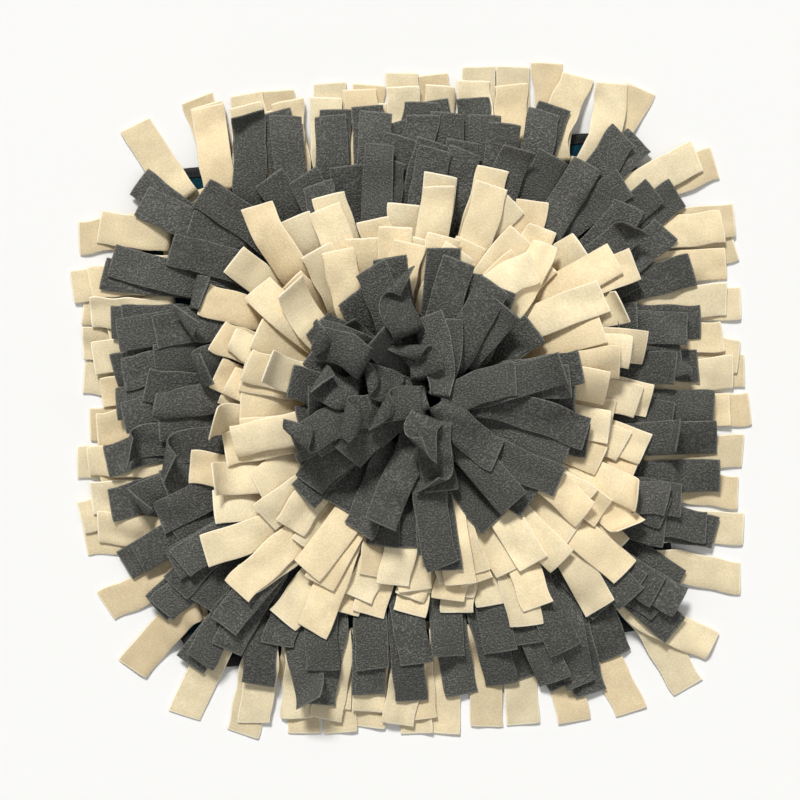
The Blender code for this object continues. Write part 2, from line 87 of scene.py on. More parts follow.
def new_material(name, colour, roughness):
    """A material with one Principled BSDF, and its node tree and shader."""
    made = bpy.data.materials.new(name)
    made.use_nodes = True
    made.diffuse_color = (*colour[:3], 1.0)
    shader = made.node_tree.nodes["Principled BSDF"]
    shader.inputs["Base Color"].default_value = (*colour[:3], 1.0)
    shader.inputs["Roughness"].default_value = roughness
    return made, made.node_tree, shader


def add_soft_light(name, bearing, elevation, strength, spread, colour):
    """A wide, even studio light that comes from a bearing and an elevation, in degrees."""
    light = bpy.data.lights.new(name, "SUN")
    light.energy = strength
    light.angle = math.radians(spread)
    light.color = colour
    made = new_object(name, light)
    made.rotation_euler = (math.radians(90 - elevation), 0, math.radians(180 - bearing))


floor_mesh = bpy.data.meshes.new("studio_floor")
half = FLOOR_SIDE / 2
floor_mesh.from_pydata(
    [(-half, -half, -0.0004), (half, -half, -0.0004), (half, half, -0.0004), (-half, half, -0.0004)],
    [],
    [(0, 1, 2, 3)],
)
floor = new_object("studio_floor", floor_mesh)
floor_mesh.materials.append(new_material("studio_floor", FLOOR_COLOUR, 0.85)[0])

bpy.context.scene.view_settings.view_transform = "Standard"
world = bpy.data.worlds.new("studio")
bpy.context.scene.world = world
world.use_nodes = True
world.node_tree.nodes["Background"].inputs["Color"].default_value = (1.0, 0.99, 0.975, 1.0)
world.node_tree.nodes["Background"].inputs["Strength"].default_value = 0.30
add_soft_light("key_light", -12.0, 48.0, 2.85, 12.0, (1.0, 0.985, 0.95))
add_soft_light("fill_light", 120.0, 62.0, 0.35, 50.0, (0.95, 0.97, 1.0))

camera = bpy.data.cameras.new("camera")
camera.sensor_width = SENSOR_WIDTH
camera.lens = SENSOR_WIDTH / 2 * CAMERA_HEIGHT / VIEW_HALF
camera_object = new_object("camera", camera)
camera_object.location = (*CAMERA_PLACE, CAMERA_HEIGHT)
camera_object.rotation_euler = (0, 0, math.radians(CAMERA_TURN))
bpy.context.scene.camera = camera_object

# ---- Base cloth ----
# One rounded square of thick teal fleece, cut flat. The fringes are sewn to its upper side,
# and its edge runs into the folded binding.

MAT_SIDE = 0.375
MAT_CORNER = 0.039
CLOTH_THICKNESS = 0.003
BINDING_WIDTH = 0.008
GAP = 0.0003
CORNER_STEPS = 12
SIDE_STEPS = 16
CLOTH_RINGS = 22
TEAL = (0.004, 0.045, 0.07)
EVEN_TINTS = ((1.0, 1.0, 1.0), (1.0, 1.0, 1.0))


def rounded_square(half_side, corner, height):
    """Points of a rounded square, counterclockwise seen from above."""
    points = []
    straight = half_side - corner
    for quarter in range(4):
        turn = math.pi / 2 * quarter
        for step in range(SIDE_STEPS):
            points.append((half_side, -straight + 2 * straight * step / SIDE_STEPS, turn))
        for step in range(CORNER_STEPS):
            angle = math.pi / 2 * step / CORNER_STEPS
            points.append((straight + corner * math.cos(angle), straight + corner * math.sin(angle), turn))
    return [
        (x * math.cos(turn) - y * math.sin(turn), x * math.sin(turn) + y * math.cos(turn), height)
        for x, y, turn in points
    ]


def quads_between(first, second, count, inward=False):
    """Faces between two closed rounds of points that start at these numbers."""
    following = [(k + 1) % count for k in range(count)]
    if inward:
        return [(first + k, second + k, second + n, first + n) for k, n in enumerate(following)]
    return [(first + k, first + n, second + n, second + k) for k, n in enumerate(following)]


def shade_smooth(mesh):
    mesh.polygons.foreach_set("use_smooth", [True] * len(mesh.polygons))
    mesh.update()


def add_points_value(mesh, name, kind, values):
    """Stores a number or a vector at each vertex for a material to read."""
    attribute = mesh.attributes.new(name, kind, "POINT")
    field_name = "vector" if kind == "FLOAT_VECTOR" else "value"
    attribute.data.foreach_set(field_name, np.asarray(values, np.float32).ravel())


def set_inputs(tree, node, inputs):
    """Puts a value in each of a node's inputs that is named, or links it to another node's output."""
    for name, value in inputs.items():
        if isinstance(value, bpy.types.NodeSocket):
            tree.links.new(value, node.inputs[name])
        else:
            node.inputs[name].default_value = value


def add_node(tree, kind, inputs, **settings):
    """A new node of a tree, with these settings and these values or links in its inputs."""
    node = tree.nodes.new(kind)
    for name, value in settings.items():
        setattr(node, name, value)
    set_inputs(tree, node, inputs)
    return node


def group_socket(group, name, kind, incoming, value=None):
    socket = group.interface.new_socket(name=name, in_out="INPUT" if incoming else "OUTPUT", socket_type=kind)
    if value is not None:
        socket.default_value = value


def make_fleece_group():
    """Brushed fleece: short matted fibre that gathers in small curls, with fine fibre over them."""
    group = bpy.data.node_groups.new("fleece_nap", "ShaderNodeTree")
    group_socket(group, "Place", "NodeSocketVector", True)
    group_socket(group, "Curl Size", "NodeSocketFloat", True, 0.002)
    for name in ("Nap", "Patch", "Height"):
        group_socket(group, name, "NodeSocketFloat", False)
    taken = group.nodes.new("NodeGroupInput").outputs
    per_metre = add_node(group, "ShaderNodeMath", {0: 1.0, 1: taken["Curl Size"]}, operation="DIVIDE")
    place = add_node(
        group, "ShaderNodeVectorMath", {0: taken["Place"], "Scale": per_metre.outputs[0]}, operation="SCALE"
    ).outputs[0]
    curls = add_node(
        group, "ShaderNodeTexNoise", {"Vector": place, "Scale": 1.0, "Detail": 2.0, "Roughness": 0.55}
    )
    shape = add_node(
        group,
        "ShaderNodeMapRange",
        {"Value": curls.outputs["Fac"], "From Min": 0.34, "From Max": 0.66},
        interpolation_type="SMOOTHSTEP",
    ).outputs["Result"]
    fibre = add_node(
        group, "ShaderNodeTexNoise", {"Vector": place, "Scale": 4.5, "Detail": 2.0, "Distortion": 1.5}
    )
    patch = add_node(group, "ShaderNodeTexNoise", {"Vector": place, "Scale": 0.09, "Detail": 2.0})
    height = add_node(
        group, "ShaderNodeMath", {0: fibre.outputs["Fac"], 1: 0.35, 2: shape}, operation="MULTIPLY_ADD"
    )
    given = {"Nap": shape, "Patch": patch.outputs["Fac"], "Height": height.outputs[0]}
    add_node(group, "NodeGroupOutput", given)
    return group


FLEECE_GROUP = make_fleece_group()


def fleece_material(name, low, high, edge_highlight, tints, curl_size, bump, sheen):
    """A fleece finish. low and high are the colours between and on the curls; the cut edges get a painted
    highlight, whose colour also tints the sheen.
    """
    made, tree, shader = new_material(name, high, 0.9)
    place, edge, tone, warmth = (
        add_node(tree, "ShaderNodeAttribute", {}, attribute_name=read).outputs
        for read in ("weave", "cut_edge", "tone", "warmth")
    )
    taken = {"Curl Size": curl_size, "Place": place["Vector"]}
    nap = add_node(tree, "ShaderNodeGroup", taken, node_tree=FLEECE_GROUP).outputs

    def mixed(kind, share, first, second):
        inputs = {0: share, 6: first, 7: second}
        return add_node(tree, "ShaderNodeMix", inputs, data_type="RGBA", blend_type=kind).outputs[2]

    cloth = mixed("MIX", nap["Nap"], (*low, 1.0), (*high, 1.0))
    brightness = add_node(
        tree,
        "ShaderNodeMapRange",
        {"Value": nap["Patch"], "From Min": 0.3, "From Max": 0.7, "To Min": 0.93, "To Max": 1.05},
    )
    # The tone attribute carries each strip's random tone and its painted shade by layer
    toned = add_node(
        tree, "ShaderNodeMath", {0: brightness.outputs["Result"], 1: tone["Fac"]}, operation="MULTIPLY"
    )
    cloth = mixed("MULTIPLY", 1.0, cloth, toned.outputs[0])
    # Painted highlight: the cut edges are painted lighter than the cloth
    cloth = mixed("MIX", edge["Fac"], cloth, (*edge_highlight, 1.0))
    tint = mixed("MIX", warmth["Fac"], (*tints[0], 1.0), (*tints[1], 1.0))
    cloth = mixed("MULTIPLY", 1.0, cloth, tint)
    rough = add_node(tree, "ShaderNodeMapRange", {"Value": nap["Nap"], "To Min": 0.96, "To Max": 0.84})
    relief = add_node(
        tree, "ShaderNodeBump", {"Strength": bump, "Distance": 0.0016, "Height": nap["Height"]}
    )
    set_inputs(tree, shader, {
        "Base Color": cloth,
        "Roughness": rough.outputs["Result"],
        "Normal": relief.outputs["Normal"],
        "Specular IOR Level": 0.15,
        "Sheen Weight": sheen,
        "Sheen Roughness": 0.45,
        "Sheen Tint": (*edge_highlight, 1.0),
    })
    return made


def add_fleece_values(mesh, weave, cut_edge, tone, warmth):
    add_points_value(mesh, "weave", "FLOAT_VECTOR", weave)
    add_points_value(mesh, "cut_edge", "FLOAT", cut_edge)
    add_points_value(mesh, "tone", "FLOAT", tone)
    add_points_value(mesh, "warmth", "FLOAT", warmth)


cloth_half = MAT_SIDE / 2 - BINDING_WIDTH - GAP
cloth_corner = MAT_CORNER - BINDING_WIDTH - GAP
cloth_vertices = []
for height, shares in (
    (0.0, [ring / CLOTH_RINGS for ring in range(1, CLOTH_RINGS + 1)]),
    (CLOTH_THICKNESS, [ring / CLOTH_RINGS for ring in range(CLOTH_RINGS, 0, -1)]),
):
    for share in shares:
        cloth_vertices += rounded_square(cloth_half * share, cloth_corner * share, height)
round_count = 4 * (SIDE_STEPS + CORNER_STEPS)
cloth_faces = []
for ring in range(2 * CLOTH_RINGS - 1):
    cloth_faces += quads_between(ring * round_count, (ring + 1) * round_count, round_count)
cloth_vertices += [(0.0, 0.0, 0.0), (0.0, 0.0, CLOTH_THICKNESS)]
last = (2 * CLOTH_RINGS - 1) * round_count
for k in range(round_count):
    n = (k + 1) % round_count
    cloth_faces.append((n, k, len(cloth_vertices) - 2))
    cloth_faces.append((last + k, last + n, len(cloth_vertices) - 1))
base_mesh = bpy.data.meshes.new("base_panel")
base_mesh.from_pydata(cloth_vertices, [], cloth_faces)
no_share = np.zeros(len(cloth_vertices))
add_fleece_values(base_mesh, cloth_vertices, no_share, no_share + 1, no_share)
base_material = fleece_material(
    "teal_fleece", (0.003, 0.032, 0.05), TEAL, (0.02, 0.09, 0.12), EVEN_TINTS, 0.0020, 0.5, 0.1
)
base_mesh.materials.append(base_material)
base_panel = new_object("base_panel", base_mesh)
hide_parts("base_cloth")
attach(base_panel, "root")

# ---- Edge binding ----
# A black woven tape folded over the cloth's raw edge and sewn down near its inner edge. The
# tape's fine cross ribs run over the fold.

BLACK = (0.006, 0.006, 0.007)
RIB_SPACING = 0.0011
BINDING_SECTION = (
    (0.30, 0.00),
    (0.06, 0.00),
    (0.00, 0.22),
    (0.00, 0.72),
    (0.05, 1.02),
    (0.16, 1.19),
    (0.30, 1.25),
    (0.64, 1.24),
    (0.70, 1.17),
    (0.76, 1.17),
    (0.82, 1.23),
    (0.93, 1.18),
    (1.00, 1.02),
    (1.00, 0.00),
)

binding_vertices = []
binding_places = []
for inward, height in BINDING_SECTION:
    inset = BINDING_WIDTH * inward
    binding_vertices += rounded_square(MAT_SIDE / 2 - inset, MAT_CORNER - inset, CLOTH_THICKNESS * height)
outline = np.array(rounded_square(MAT_SIDE / 2, MAT_CORNER, 0.0))
paces = np.linalg.norm(np.roll(outline, -1, axis=0) - outline, axis=1)
walked = np.concatenate([[0.0], np.cumsum(paces)[:-1]])
for inward, height in BINDING_SECTION:
    over_fold = inward * BINDING_WIDTH + height * CLOTH_THICKNESS
    binding_places += [(distance, over_fold, 0.0) for distance in walked]
binding_faces = []
for line in range(len(BINDING_SECTION)):
    following = (line + 1) % len(BINDING_SECTION)
    binding_faces += quads_between(line * round_count, following * round_count, round_count)
binding_mesh = bpy.data.meshes.new("bound_edge")
binding_mesh.from_pydata(binding_vertices, [], binding_faces)
shade_smooth(binding_mesh)
add_points_value(binding_mesh, "weave", "FLOAT_VECTOR", binding_places)

binding_material, binding_tree, binding_shader = new_material("binding_tape", BLACK, 0.75)
rib_place = add_node(binding_tree, "ShaderNodeAttribute", {}, attribute_name="weave")
rib_inputs = {
    "Vector": rib_place.outputs["Vector"],
    "Scale": 1.0 / RIB_SPACING / math.tau * 1.6,
    "Distortion": 0.6,
}
ribs = add_node(binding_tree, "ShaderNodeTexWave", rib_inputs, wave_profile="SIN").outputs["Fac"]
rib_inputs = {0: ribs, 6: (0.003, 0.003, 0.004, 1.0), 7: (0.012, 0.012, 0.014, 1.0)}
rib_colour = add_node(binding_tree, "ShaderNodeMix", rib_inputs, data_type="RGBA")
rib_rough = add_node(binding_tree, "ShaderNodeMapRange", {"Value": ribs, "To Min": 0.85, "To Max": 0.62})
rib_relief = add_node(binding_tree, "ShaderNodeBump", {"Strength": 0.6, "Distance": 0.0003, "Height": ribs})
set_inputs(binding_tree, binding_shader, {
    "Base Color": rib_colour.outputs[2],
    "Roughness": rib_rough.outputs["Result"],
    "Normal": rib_relief.outputs["Normal"],
})
binding_mesh.materials.append(binding_material)
bound_edge = new_object("bound_edge", binding_mesh)
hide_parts("edge_binding")
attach(bound_edge, "root")

# ---- Binding stitches ----
# A line of black lockstitch that holds the binding's fold to the cloth, sunk a little into
# the tape. Each stitch is a short thread bead that dips at both ends.

STITCH_LENGTH = 0.0026
STITCH_SPACING = 0.0034
STITCH_RADIUS = 0.00028
STITCH_INSET = BINDING_WIDTH * 0.73


def make_stitch_tree():
    """Puts a thread bead at even spaces along a curve."""
    tree = bpy.data.node_groups.new("stitch_line", "GeometryNodeTree")
    group_socket(tree, "Geometry", "NodeSocketGeometry", True)
    for name, value in (("Spacing", STITCH_SPACING), ("Length", STITCH_LENGTH), ("Radius", STITCH_RADIUS)):
        group_socket(tree, name, "NodeSocketFloat", True, value)
    group_socket(tree, "Thread", "NodeSocketMaterial", True)
    group_socket(tree, "Geometry", "NodeSocketGeometry", False)
    taken = tree.nodes.new("NodeGroupInput").outputs
    path = add_node(tree, "GeometryNodeMeshToCurve", {"Mesh": taken["Geometry"]})
    spots = add_node(
        tree,
        "GeometryNodeCurveToPoints",
        {"Curve": path.outputs["Curve"], "Length": taken["Spacing"]},
        mode="LENGTH",
    ).outputs
    bead = add_node(tree, "GeometryNodeMeshUVSphere", {"Segments": 6, "Rings": 5, "Radius": 1.0})
    half_length = add_node(tree, "ShaderNodeMath", {0: taken["Length"], 1: 0.5}, operation="MULTIPLY")
    axes = {"X": taken["Radius"], "Y": taken["Radius"], "Z": half_length.outputs[0]}
    size = add_node(tree, "ShaderNodeCombineXYZ", axes)
    beads = add_node(tree, "GeometryNodeInstanceOnPoints", {
        "Points": spots["Points"],
        "Instance": bead.outputs["Mesh"],
        "Rotation": spots["Rotation"],
        "Scale": size.outputs["Vector"],
    })
    real = add_node(tree, "GeometryNodeRealizeInstances", {"Geometry": beads.outputs["Instances"]})
    smoothed = add_node(tree, "GeometryNodeSetShadeSmooth", {"Geometry": real.outputs["Geometry"]})
    threaded = {"Geometry": smoothed.outputs["Geometry"], "Material": taken["Thread"]}
    finish = add_node(tree, "GeometryNodeSetMaterial", threaded)
    add_node(tree, "NodeGroupOutput", {"Geometry": finish.outputs["Geometry"]})
    return tree


def socket_id(tree, name):
    """The identifier of a tree's input, which a modifier's setting is named by."""
    items = tree.interface.items_tree
    return next(item.identifier for item in items if item.name == name and item.in_out == "INPUT")


thread_material, thread_tree, thread_shader = new_material("binding_thread", (0.01, 0.01, 0.011), 0.55)
thread_place = thread_tree.nodes.new("ShaderNodeTexCoord").outputs["Object"]
thread_twist = add_node(thread_tree, "ShaderNodeTexNoise", {"Vector": thread_place, "Scale": 2500.0})
thread_relief = add_node(
    thread_tree,
    "ShaderNodeBump",
    {"Strength": 0.4, "Distance": 0.0001, "Height": thread_twist.outputs["Fac"]},
)
set_inputs(thread_tree, thread_shader, {"Normal": thread_relief.outputs["Normal"]})

stitch_path = rounded_square(MAT_SIDE / 2 - STITCH_INSET, MAT_CORNER - STITCH_INSET, CLOTH_THICKNESS * 1.19)
path_mesh = bpy.data.meshes.new("stitch_path")
path_mesh.from_pydata(stitch_path, [(k, (k + 1) % round_count) for k in range(round_count)], [])
path_object = new_object("stitch_path", path_mesh)
stitch_tree = make_stitch_tree()
stitcher = path_object.modifiers.new("stitches", "NODES")
stitcher.node_group = stitch_tree
stitcher[socket_id(stitch_tree, "Thread")] = thread_material
stitched_path = path_object.evaluated_get(bpy.context.evaluated_depsgraph_get())
stitch_mesh = bpy.data.meshes.new_from_object(stitched_path)
bpy.data.objects.remove(path_object)
binding_stitches = new_object("binding_stitches", stitch_mesh)
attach(binding_stitches, "root")

# ---- Fringe 1, cream ----
# The outermost square of strips, cut from cream fleece 25 mm wide. Two rows are sewn to a narrow
# tape by their inner ends, and each strip rises from its seam, turns over and lies outwards,
# over the binding and onto the floor. Every fringe is made in this way.

STRIP_WIDTH = 0.025
STRIP_THICKNESS = 0.0014
TAPE_THICKNESS = 0.002
ROW_SPACING = 0.0044
TAPE_TOP = CLOTH_THICKNESS + GAP + TAPE_THICKNESS
RISE_HEIGHT = 0.007
RISE_REACH = 0.004
TURN_LENGTH = 0.022
DROOP = 75.0
SIDE_DROOP = 55.0
LOOSENESS = 0.0015
UNEVEN_HEADING = (6.0, 3.0)
UNEVEN_REACH = 0.004
UNEVEN_BEND = 4.0
UNEVEN_ROLL = 0.12
CURL_LENGTH = 0.030
GATHER_LENGTH = 0.024
# How freely each kind of strip curls and bends: fillers, the lower row, and the upper row
FREEDOM = (0.3, 0.6, 1.0)
# Painted shade for each kind of strip: fillers and the lower row, which lie under the upper row, are painted
# darker than it
PAINTED_LAYER_SHADE = (0.90, 0.93, 1.03)
FILLED_FROM = 13.0
FILLER_REACH = 0.86
DOUBLED_SHARE = 0.25
DOUBLED_TURN = 14.0
DOUBLED_REACH = (-0.010, 0.001)
# The bearings between which fillers lie where neighbouring strips spread apart
ALL_BEARINGS = (-1, 360)
NO_BEARINGS = (0, 0)
MOST_SKEW = 0.10
MOST_SLANT = 0.7
CORNER_EASE = 0.0004
MOST_TURNED = 0.4
MOST_TILT = 0.34
MOST_CUP = 0.35
STRONG_CUP = 2.2
UNEVEN_TONE = (-0.09, 0.06)
ARCH_STRETCH = 1.15
# The share of a rolled end's length that doesn't rest on what lies under it
UNRESTED_SHARE = 0.7
TILT_START = 0.012
TILT_LENGTH = 0.030
TURNED_LENGTH = 0.030
MOST_SWAY = 0.0035
MOST_RIPPLE = 0.0028
RIPPLE_LENGTH = 0.042
MIDDLE = np.array([0.0195, -0.0025, 0.0])
LAYING_SEED = 11
LOOKS_SEED = 61
FIELD_STEP = 0.001
FIELD_HALF = 0.300
UP = np.array([0.0, 0.0, 1.0])
CREAM_LOW = (0.82, 0.68, 0.445)
CREAM_HIGH = (0.91, 0.78, 0.54)
# The colour of the painted highlight along the strips' cut edges
CREAM_EDGE_HIGHLIGHT = (0.96, 0.87, 0.68)
CREAM_TINTS = ((1.03, 1.06, 1.075), (0.99, 0.955, 0.90))

Strip = namedtuple(
    "Strip",
    "root side out heading reach bend lift roll curl lean gather turned tilt cup sway ripple slant"
    " phase skew tone weave rolled rolled_length askew ease",
    defaults=(0.0, 0.0, 0.0, 1.0),
)

# How a fringe is sewn: its tape's square and number of cells, how far its strips lean inwards and
# gather at the seam, its tone, and the bearings between which fillers lie
Ring = namedtuple("Ring", "centre half_side corner cells lean gather tone filled")

# A fan is a run of neighbouring cells, clockwise from the middle of the +Y side. Its headings
# go evenly from the first to the last; reach is how far the tips lie from the tape. second is
# the turn in degrees of the second strip sewn behind each, or None where there is only one.
# bend is how much a strip curves sideways on its way, and lift raises it in a loose arch.
# twist rolls the upper strip of a pair towards its tip, and curl bends its tip upwards, in degrees.
Fan = namedtuple(
    "Fan", "cells first last reach second bend lift twist curl more", defaults=(None, 0, 0.0, 0, 0, 0.0)
)
PLAIN_FAN = Fan(1, 0, 0, 0)


def fans_of(*rows):
    return [Fan(*row) for row in rows]


# Across a strip, as shares of its width: where its two cut edges are rounded, and its flat between
COLUMNS = np.array([-0.5, -0.487, -0.462, -0.31, -0.155, 0.0, 0.155, 0.31, 0.462, 0.487, 0.5])
FULLNESS = np.array([0.0, 0.72, 1.0, 1.0, 1.0, 1.0, 1.0, 1.0, 1.0, 0.72, 0.0])
LAYING_COLUMNS = np.linspace(-0.5, 0.5, 13)
LAYING_STEPS = 72
COVER_ROWS = 4
COVER_COLUMNS = 36
RISE_ANGLES = np.radians([0, 14, 28, 42, 56, 70, 82])
STATION_SPACING = 0.0032
TIP_ROUNDING = ((0.0014, 1.0), (0.0005, 0.75), (0.0, 0.3))
# Round each end of a tape's cell, as shares of the tape's width and thickness
TAPE_SECTION = (
    (0.0, -0.5), (0.0, -0.1), (0.1, 0.0), (0.9, 0.0), (1.0, -0.1), (1.0, -0.5), (0.9, -1.0), (0.1, -1.0)
)
TAPE_WIDTH = ROW_SPACING + STRIP_THICKNESS


def scaled_to_one(vector):
    return vector / np.linalg.norm(vector)


def outward_of(side):
    """The horizontal direction to the left of a side direction, away from the tape."""
    return np.array([-side[1], side[0], 0.0])


def unit(bearing):
    """The horizontal unit vector along a bearing in degrees."""
    angle = math.radians(bearing)
    return np.array([math.sin(angle), math.cos(angle), 0.0])


def turn_between(start, end):
    """The shorter turn from one bearing to another, in degrees."""
    return (end - start + 180) % 360 - 180


def loop_point(half_side, corner, distance):
    """The point of a rounded square that lies this far clockwise from the middle of its +Y side."""
    straight = half_side - corner
    arc = math.pi / 2 * corner
    side, along = divmod(distance, 2 * straight + arc)
    if along < straight:
        point = np.array([along, half_side, 0.0])
    elif along < straight + arc:
        turn = math.degrees((along - straight) / corner)
        point = np.array([straight, straight, 0.0]) + corner * unit(turn)
    else:
        point = np.array([half_side, 2 * straight + arc - along, 0.0])
    for _ in range(int(side) % 4):
        point = np.array([point[1], -point[0], 0.0])
    return point


def cell_frames(centre, half_side, corner, cells):
    """For each cell of a tape: the middle of its inner edge, its side direction and its outward one."""
    length = 8 * half_side - (8 - 2 * math.pi) * corner
    frames = []
    for cell in range(cells):
        middle = (cell + 0.5) / cells * length
        start = loop_point(half_side, corner, middle - STRIP_WIDTH / 2)
        end = loop_point(half_side, corner, middle + STRIP_WIDTH / 2)
        side = scaled_to_one(end - start)
        frames.append((centre + (start + end) / 2, side, outward_of(side)))
    return frames


class Field:
    """The height of what lies on the surface so far, on a square grid of points."""

    def __init__(self):
        places = np.arange(-FIELD_HALF, FIELD_HALF + FIELD_STEP / 2, FIELD_STEP)
        x, y = np.meshgrid(abs(places), abs(places), indexing="ij")
        straight = MAT_SIDE / 2 - MAT_CORNER
        beyond = np.hypot(np.maximum(x - straight, 0), np.maximum(y - straight, 0)) - MAT_CORNER
        self.height = np.full(x.shape, -GAP)
        self.height[beyond < FIELD_STEP] = CLOTH_THICKNESS * 1.25
        self.height[beyond < -BINDING_WIDTH - FIELD_STEP] = CLOTH_THICKNESS

    def index(self, x, y):
        return (
            np.rint((x + FIELD_HALF) / FIELD_STEP).astype(int),
            np.rint((y + FIELD_HALF) / FIELD_STEP).astype(int),
        )

    def at(self, x, y):
        return self.height[self.index(x, y)]

    def cover(self, points):
        """Raises the field to these surface points, with a margin of one step round each."""
        column, row = self.index(points[:, 0], points[:, 1])
        low_column, low_row = column.min() - 1, row.min() - 1
        patch = np.full((column.max() - low_column + 2, row.max() - low_row + 2), -1.0)
        np.maximum.at(patch, (column - low_column, row - low_row), points[:, 2])
        for axis in (0, 1):
            patch = np.maximum(patch, np.maximum(np.roll(patch, 1, axis), np.roll(patch, -1, axis)))
        window = (
            slice(low_column, low_column + patch.shape[0]),
            slice(low_row, low_row + patch.shape[1]),
        )
        self.height[window] = np.maximum(self.height[window], patch)


def plan_route(strip):
    """Points, side directions and distances along a strip's centre line, seen from above."""
    normal = math.degrees(math.atan2(strip.out[0], strip.out[1]))
    turn = turn_between(normal, strip.heading)
    distances = np.linspace(0.0, strip.reach, LAYING_STEPS + 1)
    eased = np.clip(distances / TURN_LENGTH, 0, 1)
    eased = eased * eased * (3 - 2 * eased)
    bearings = np.radians(normal + turn * eased + strip.bend * (distances / strip.reach) ** 2)
    ahead = np.stack([np.sin(bearings), np.cos(bearings), np.zeros_like(bearings)], axis=1)
    sides = np.stack([np.cos(bearings), -np.sin(bearings), np.zeros_like(bearings)], axis=1)
    middles = (ahead[:-1] + ahead[1:]) / 2 * (strip.reach / LAYING_STEPS)
    points = strip.root + np.concatenate([np.zeros((1, 3)), np.cumsum(middles, axis=0)])
    if strip.lean > 0:
        points, sides, distances = lean_in(strip, points, ahead)
    sway = strip.sway * np.sin(np.linspace(0, 1.6 * math.pi, LAYING_STEPS + 1)) ** 3
    return points + sides * sway[:, None], sides, distances


def lean_in(strip, points, ahead):
    """The route of a strip that leans inwards as it rises, and then goes to the same tip."""
    start = points[0] + (MIDDLE - points[0]) * strip.lean
    tip = points[-1]
    span = np.linalg.norm((tip - start)[:2])
    outward = (tip - start) / span
    first = start + (outward + ahead[0] * 0.3) / 1.3 * span * 0.33
    second = tip - ahead[-1] * span * 0.33
    t = np.linspace(0, 1, LAYING_STEPS + 1)[:, None]
    curve = (1 - t) ** 3 * start + 3 * (1 - t) ** 2 * t * first + 3 * (1 - t) * t**2 * second + t**3 * tip
    curve[:, 2] = points[0, 2]
    slope = np.gradient(curve, axis=0)
    slope = slope / np.linalg.norm(slope, axis=1)[:, None]
    sides = np.stack([slope[:, 1], -slope[:, 0], np.zeros(len(curve))], axis=1)
    steps = np.linalg.norm(np.diff(curve, axis=0), axis=1)
    return curve, sides, np.concatenate([[0.0], np.cumsum(steps)])


def smooth(grid, width):
    """A moving average down the columns of a grid, with the ends held."""
    padded = np.pad(grid, ((width // 2, width // 2), (0, 0)), mode="edge")
    return sum(padded[k : k + len(grid)] for k in range(width)) / width


def drape(strip, field):
    """The middle surface of a strip that arches and droops, lengthwise and across, over what lies there."""
    points, sides, distances = plan_route(strip)
    progress = distances / distances[-1]
    # The section is an arc, gathered near the seam and lightly cupped at the tip, and it rolls
    bow = strip.gather * np.exp(-((distances / GATHER_LENGTH) ** 2)) + strip.cup * progress
    bow = np.where(abs(bow) < 0.01, 0.01, bow)[:, None]
    tilted = np.clip((distances - TILT_START) / TILT_LENGTH, 0, 1)
    tilted = strip.tilt * tilted * tilted * (3 - 2 * tilted)
    turned = strip.turned * np.exp(-((distances / TURNED_LENGTH) ** 2))
    roll = strip.roll * progress**2 + turned + tilted
    roll = roll[:, None]
    angle = bow * 2 * LAYING_COLUMNS
    wide = np.sin(angle) / bow * STRIP_WIDTH / 2
    deep = (np.cos(angle) - 1) / bow * STRIP_WIDTH / 2
    beside = wide * np.cos(roll) - deep * np.sin(roll)
    shape = wide * np.sin(roll) + deep * np.cos(roll)
    x = points[:, 0:1] + sides[:, 0:1] * beside
    y = points[:, 1:2] + sides[:, 1:2] * beside
    needed = field.at(x, y) + GAP + STRIP_THICKNESS / 2 - shape
    rise = strip.root[2] + RISE_HEIGHT
    rising = abs(distances - RISE_REACH) < RISE_REACH / 2
    needed[rising] = np.maximum(needed[rising], rise)
    # What is rolled up doesn't rest on what lies under it
    unrested = distances > distances[-1] - strip.rolled_length * UNRESTED_SHARE
    needed[unrested] -= strip.rolled_length
    apart = distances[:, None] - distances[None, :]
    held = (needed[None, :, :] - DROOP / 2 * (apart * apart)[:, :, None]).max(axis=1)
    across = (LAYING_COLUMNS[:, None] - LAYING_COLUMNS[None, :]) * STRIP_WIDTH
    held = (held[:, None, :] - SIDE_DROOP / 2 * (across * across)[None, :, :]).max(axis=2)
    eased = smooth(smooth(held, 7), 5)
    eased[:8] = held[:8]
    held = np.maximum(eased, needed)
    loose = strip.lift * np.sin(np.pi * np.clip(progress * ARCH_STRETCH, 0, 1)) ** 2
    # Loose folds cross the strip at a slant
    phase = distances[:, None] / RIPPLE_LENGTH + strip.slant * LAYING_COLUMNS + strip.phase
    freed = np.clip(distances / GATHER_LENGTH, 0, 1)[:, None]
    folds = strip.ripple * (1 - np.cos(phase * math.tau)) / 2 * freed
    return points, sides, distances, beside, held + loose[:, None] + folds + shape


def at_places(places, distances, grid):
    """A grid's rows at other distances along the strip."""
    return np.stack([np.interp(places, distances, column) for column in grid.T], axis=1)


def across_to(columns, known, grid):
    """A grid's columns at other shares of the strip's width than the known ones."""
    return np.stack([np.interp(columns, known, row) for row in grid])


def curl_up(strip, sheet, start):
    """Bends the rows past this one upwards."""
    middle = sheet[:, sheet.shape[1] // 2]
    steps = np.diff(middle[start:], axis=0)
    place = middle[start].copy()
    for k, step in enumerate(steps):
        ahead = np.array([step[0], step[1], 0.0])
        pitch = math.atan2(step[2], np.linalg.norm(ahead)) + strip.curl * (k + 1) / len(steps)
        ahead = scaled_to_one(ahead)
        place = place + (ahead * math.cos(pitch) + UP * math.sin(pitch)) * np.linalg.norm(step)
        sheet[start + k + 1] += place - middle[start + k + 1]


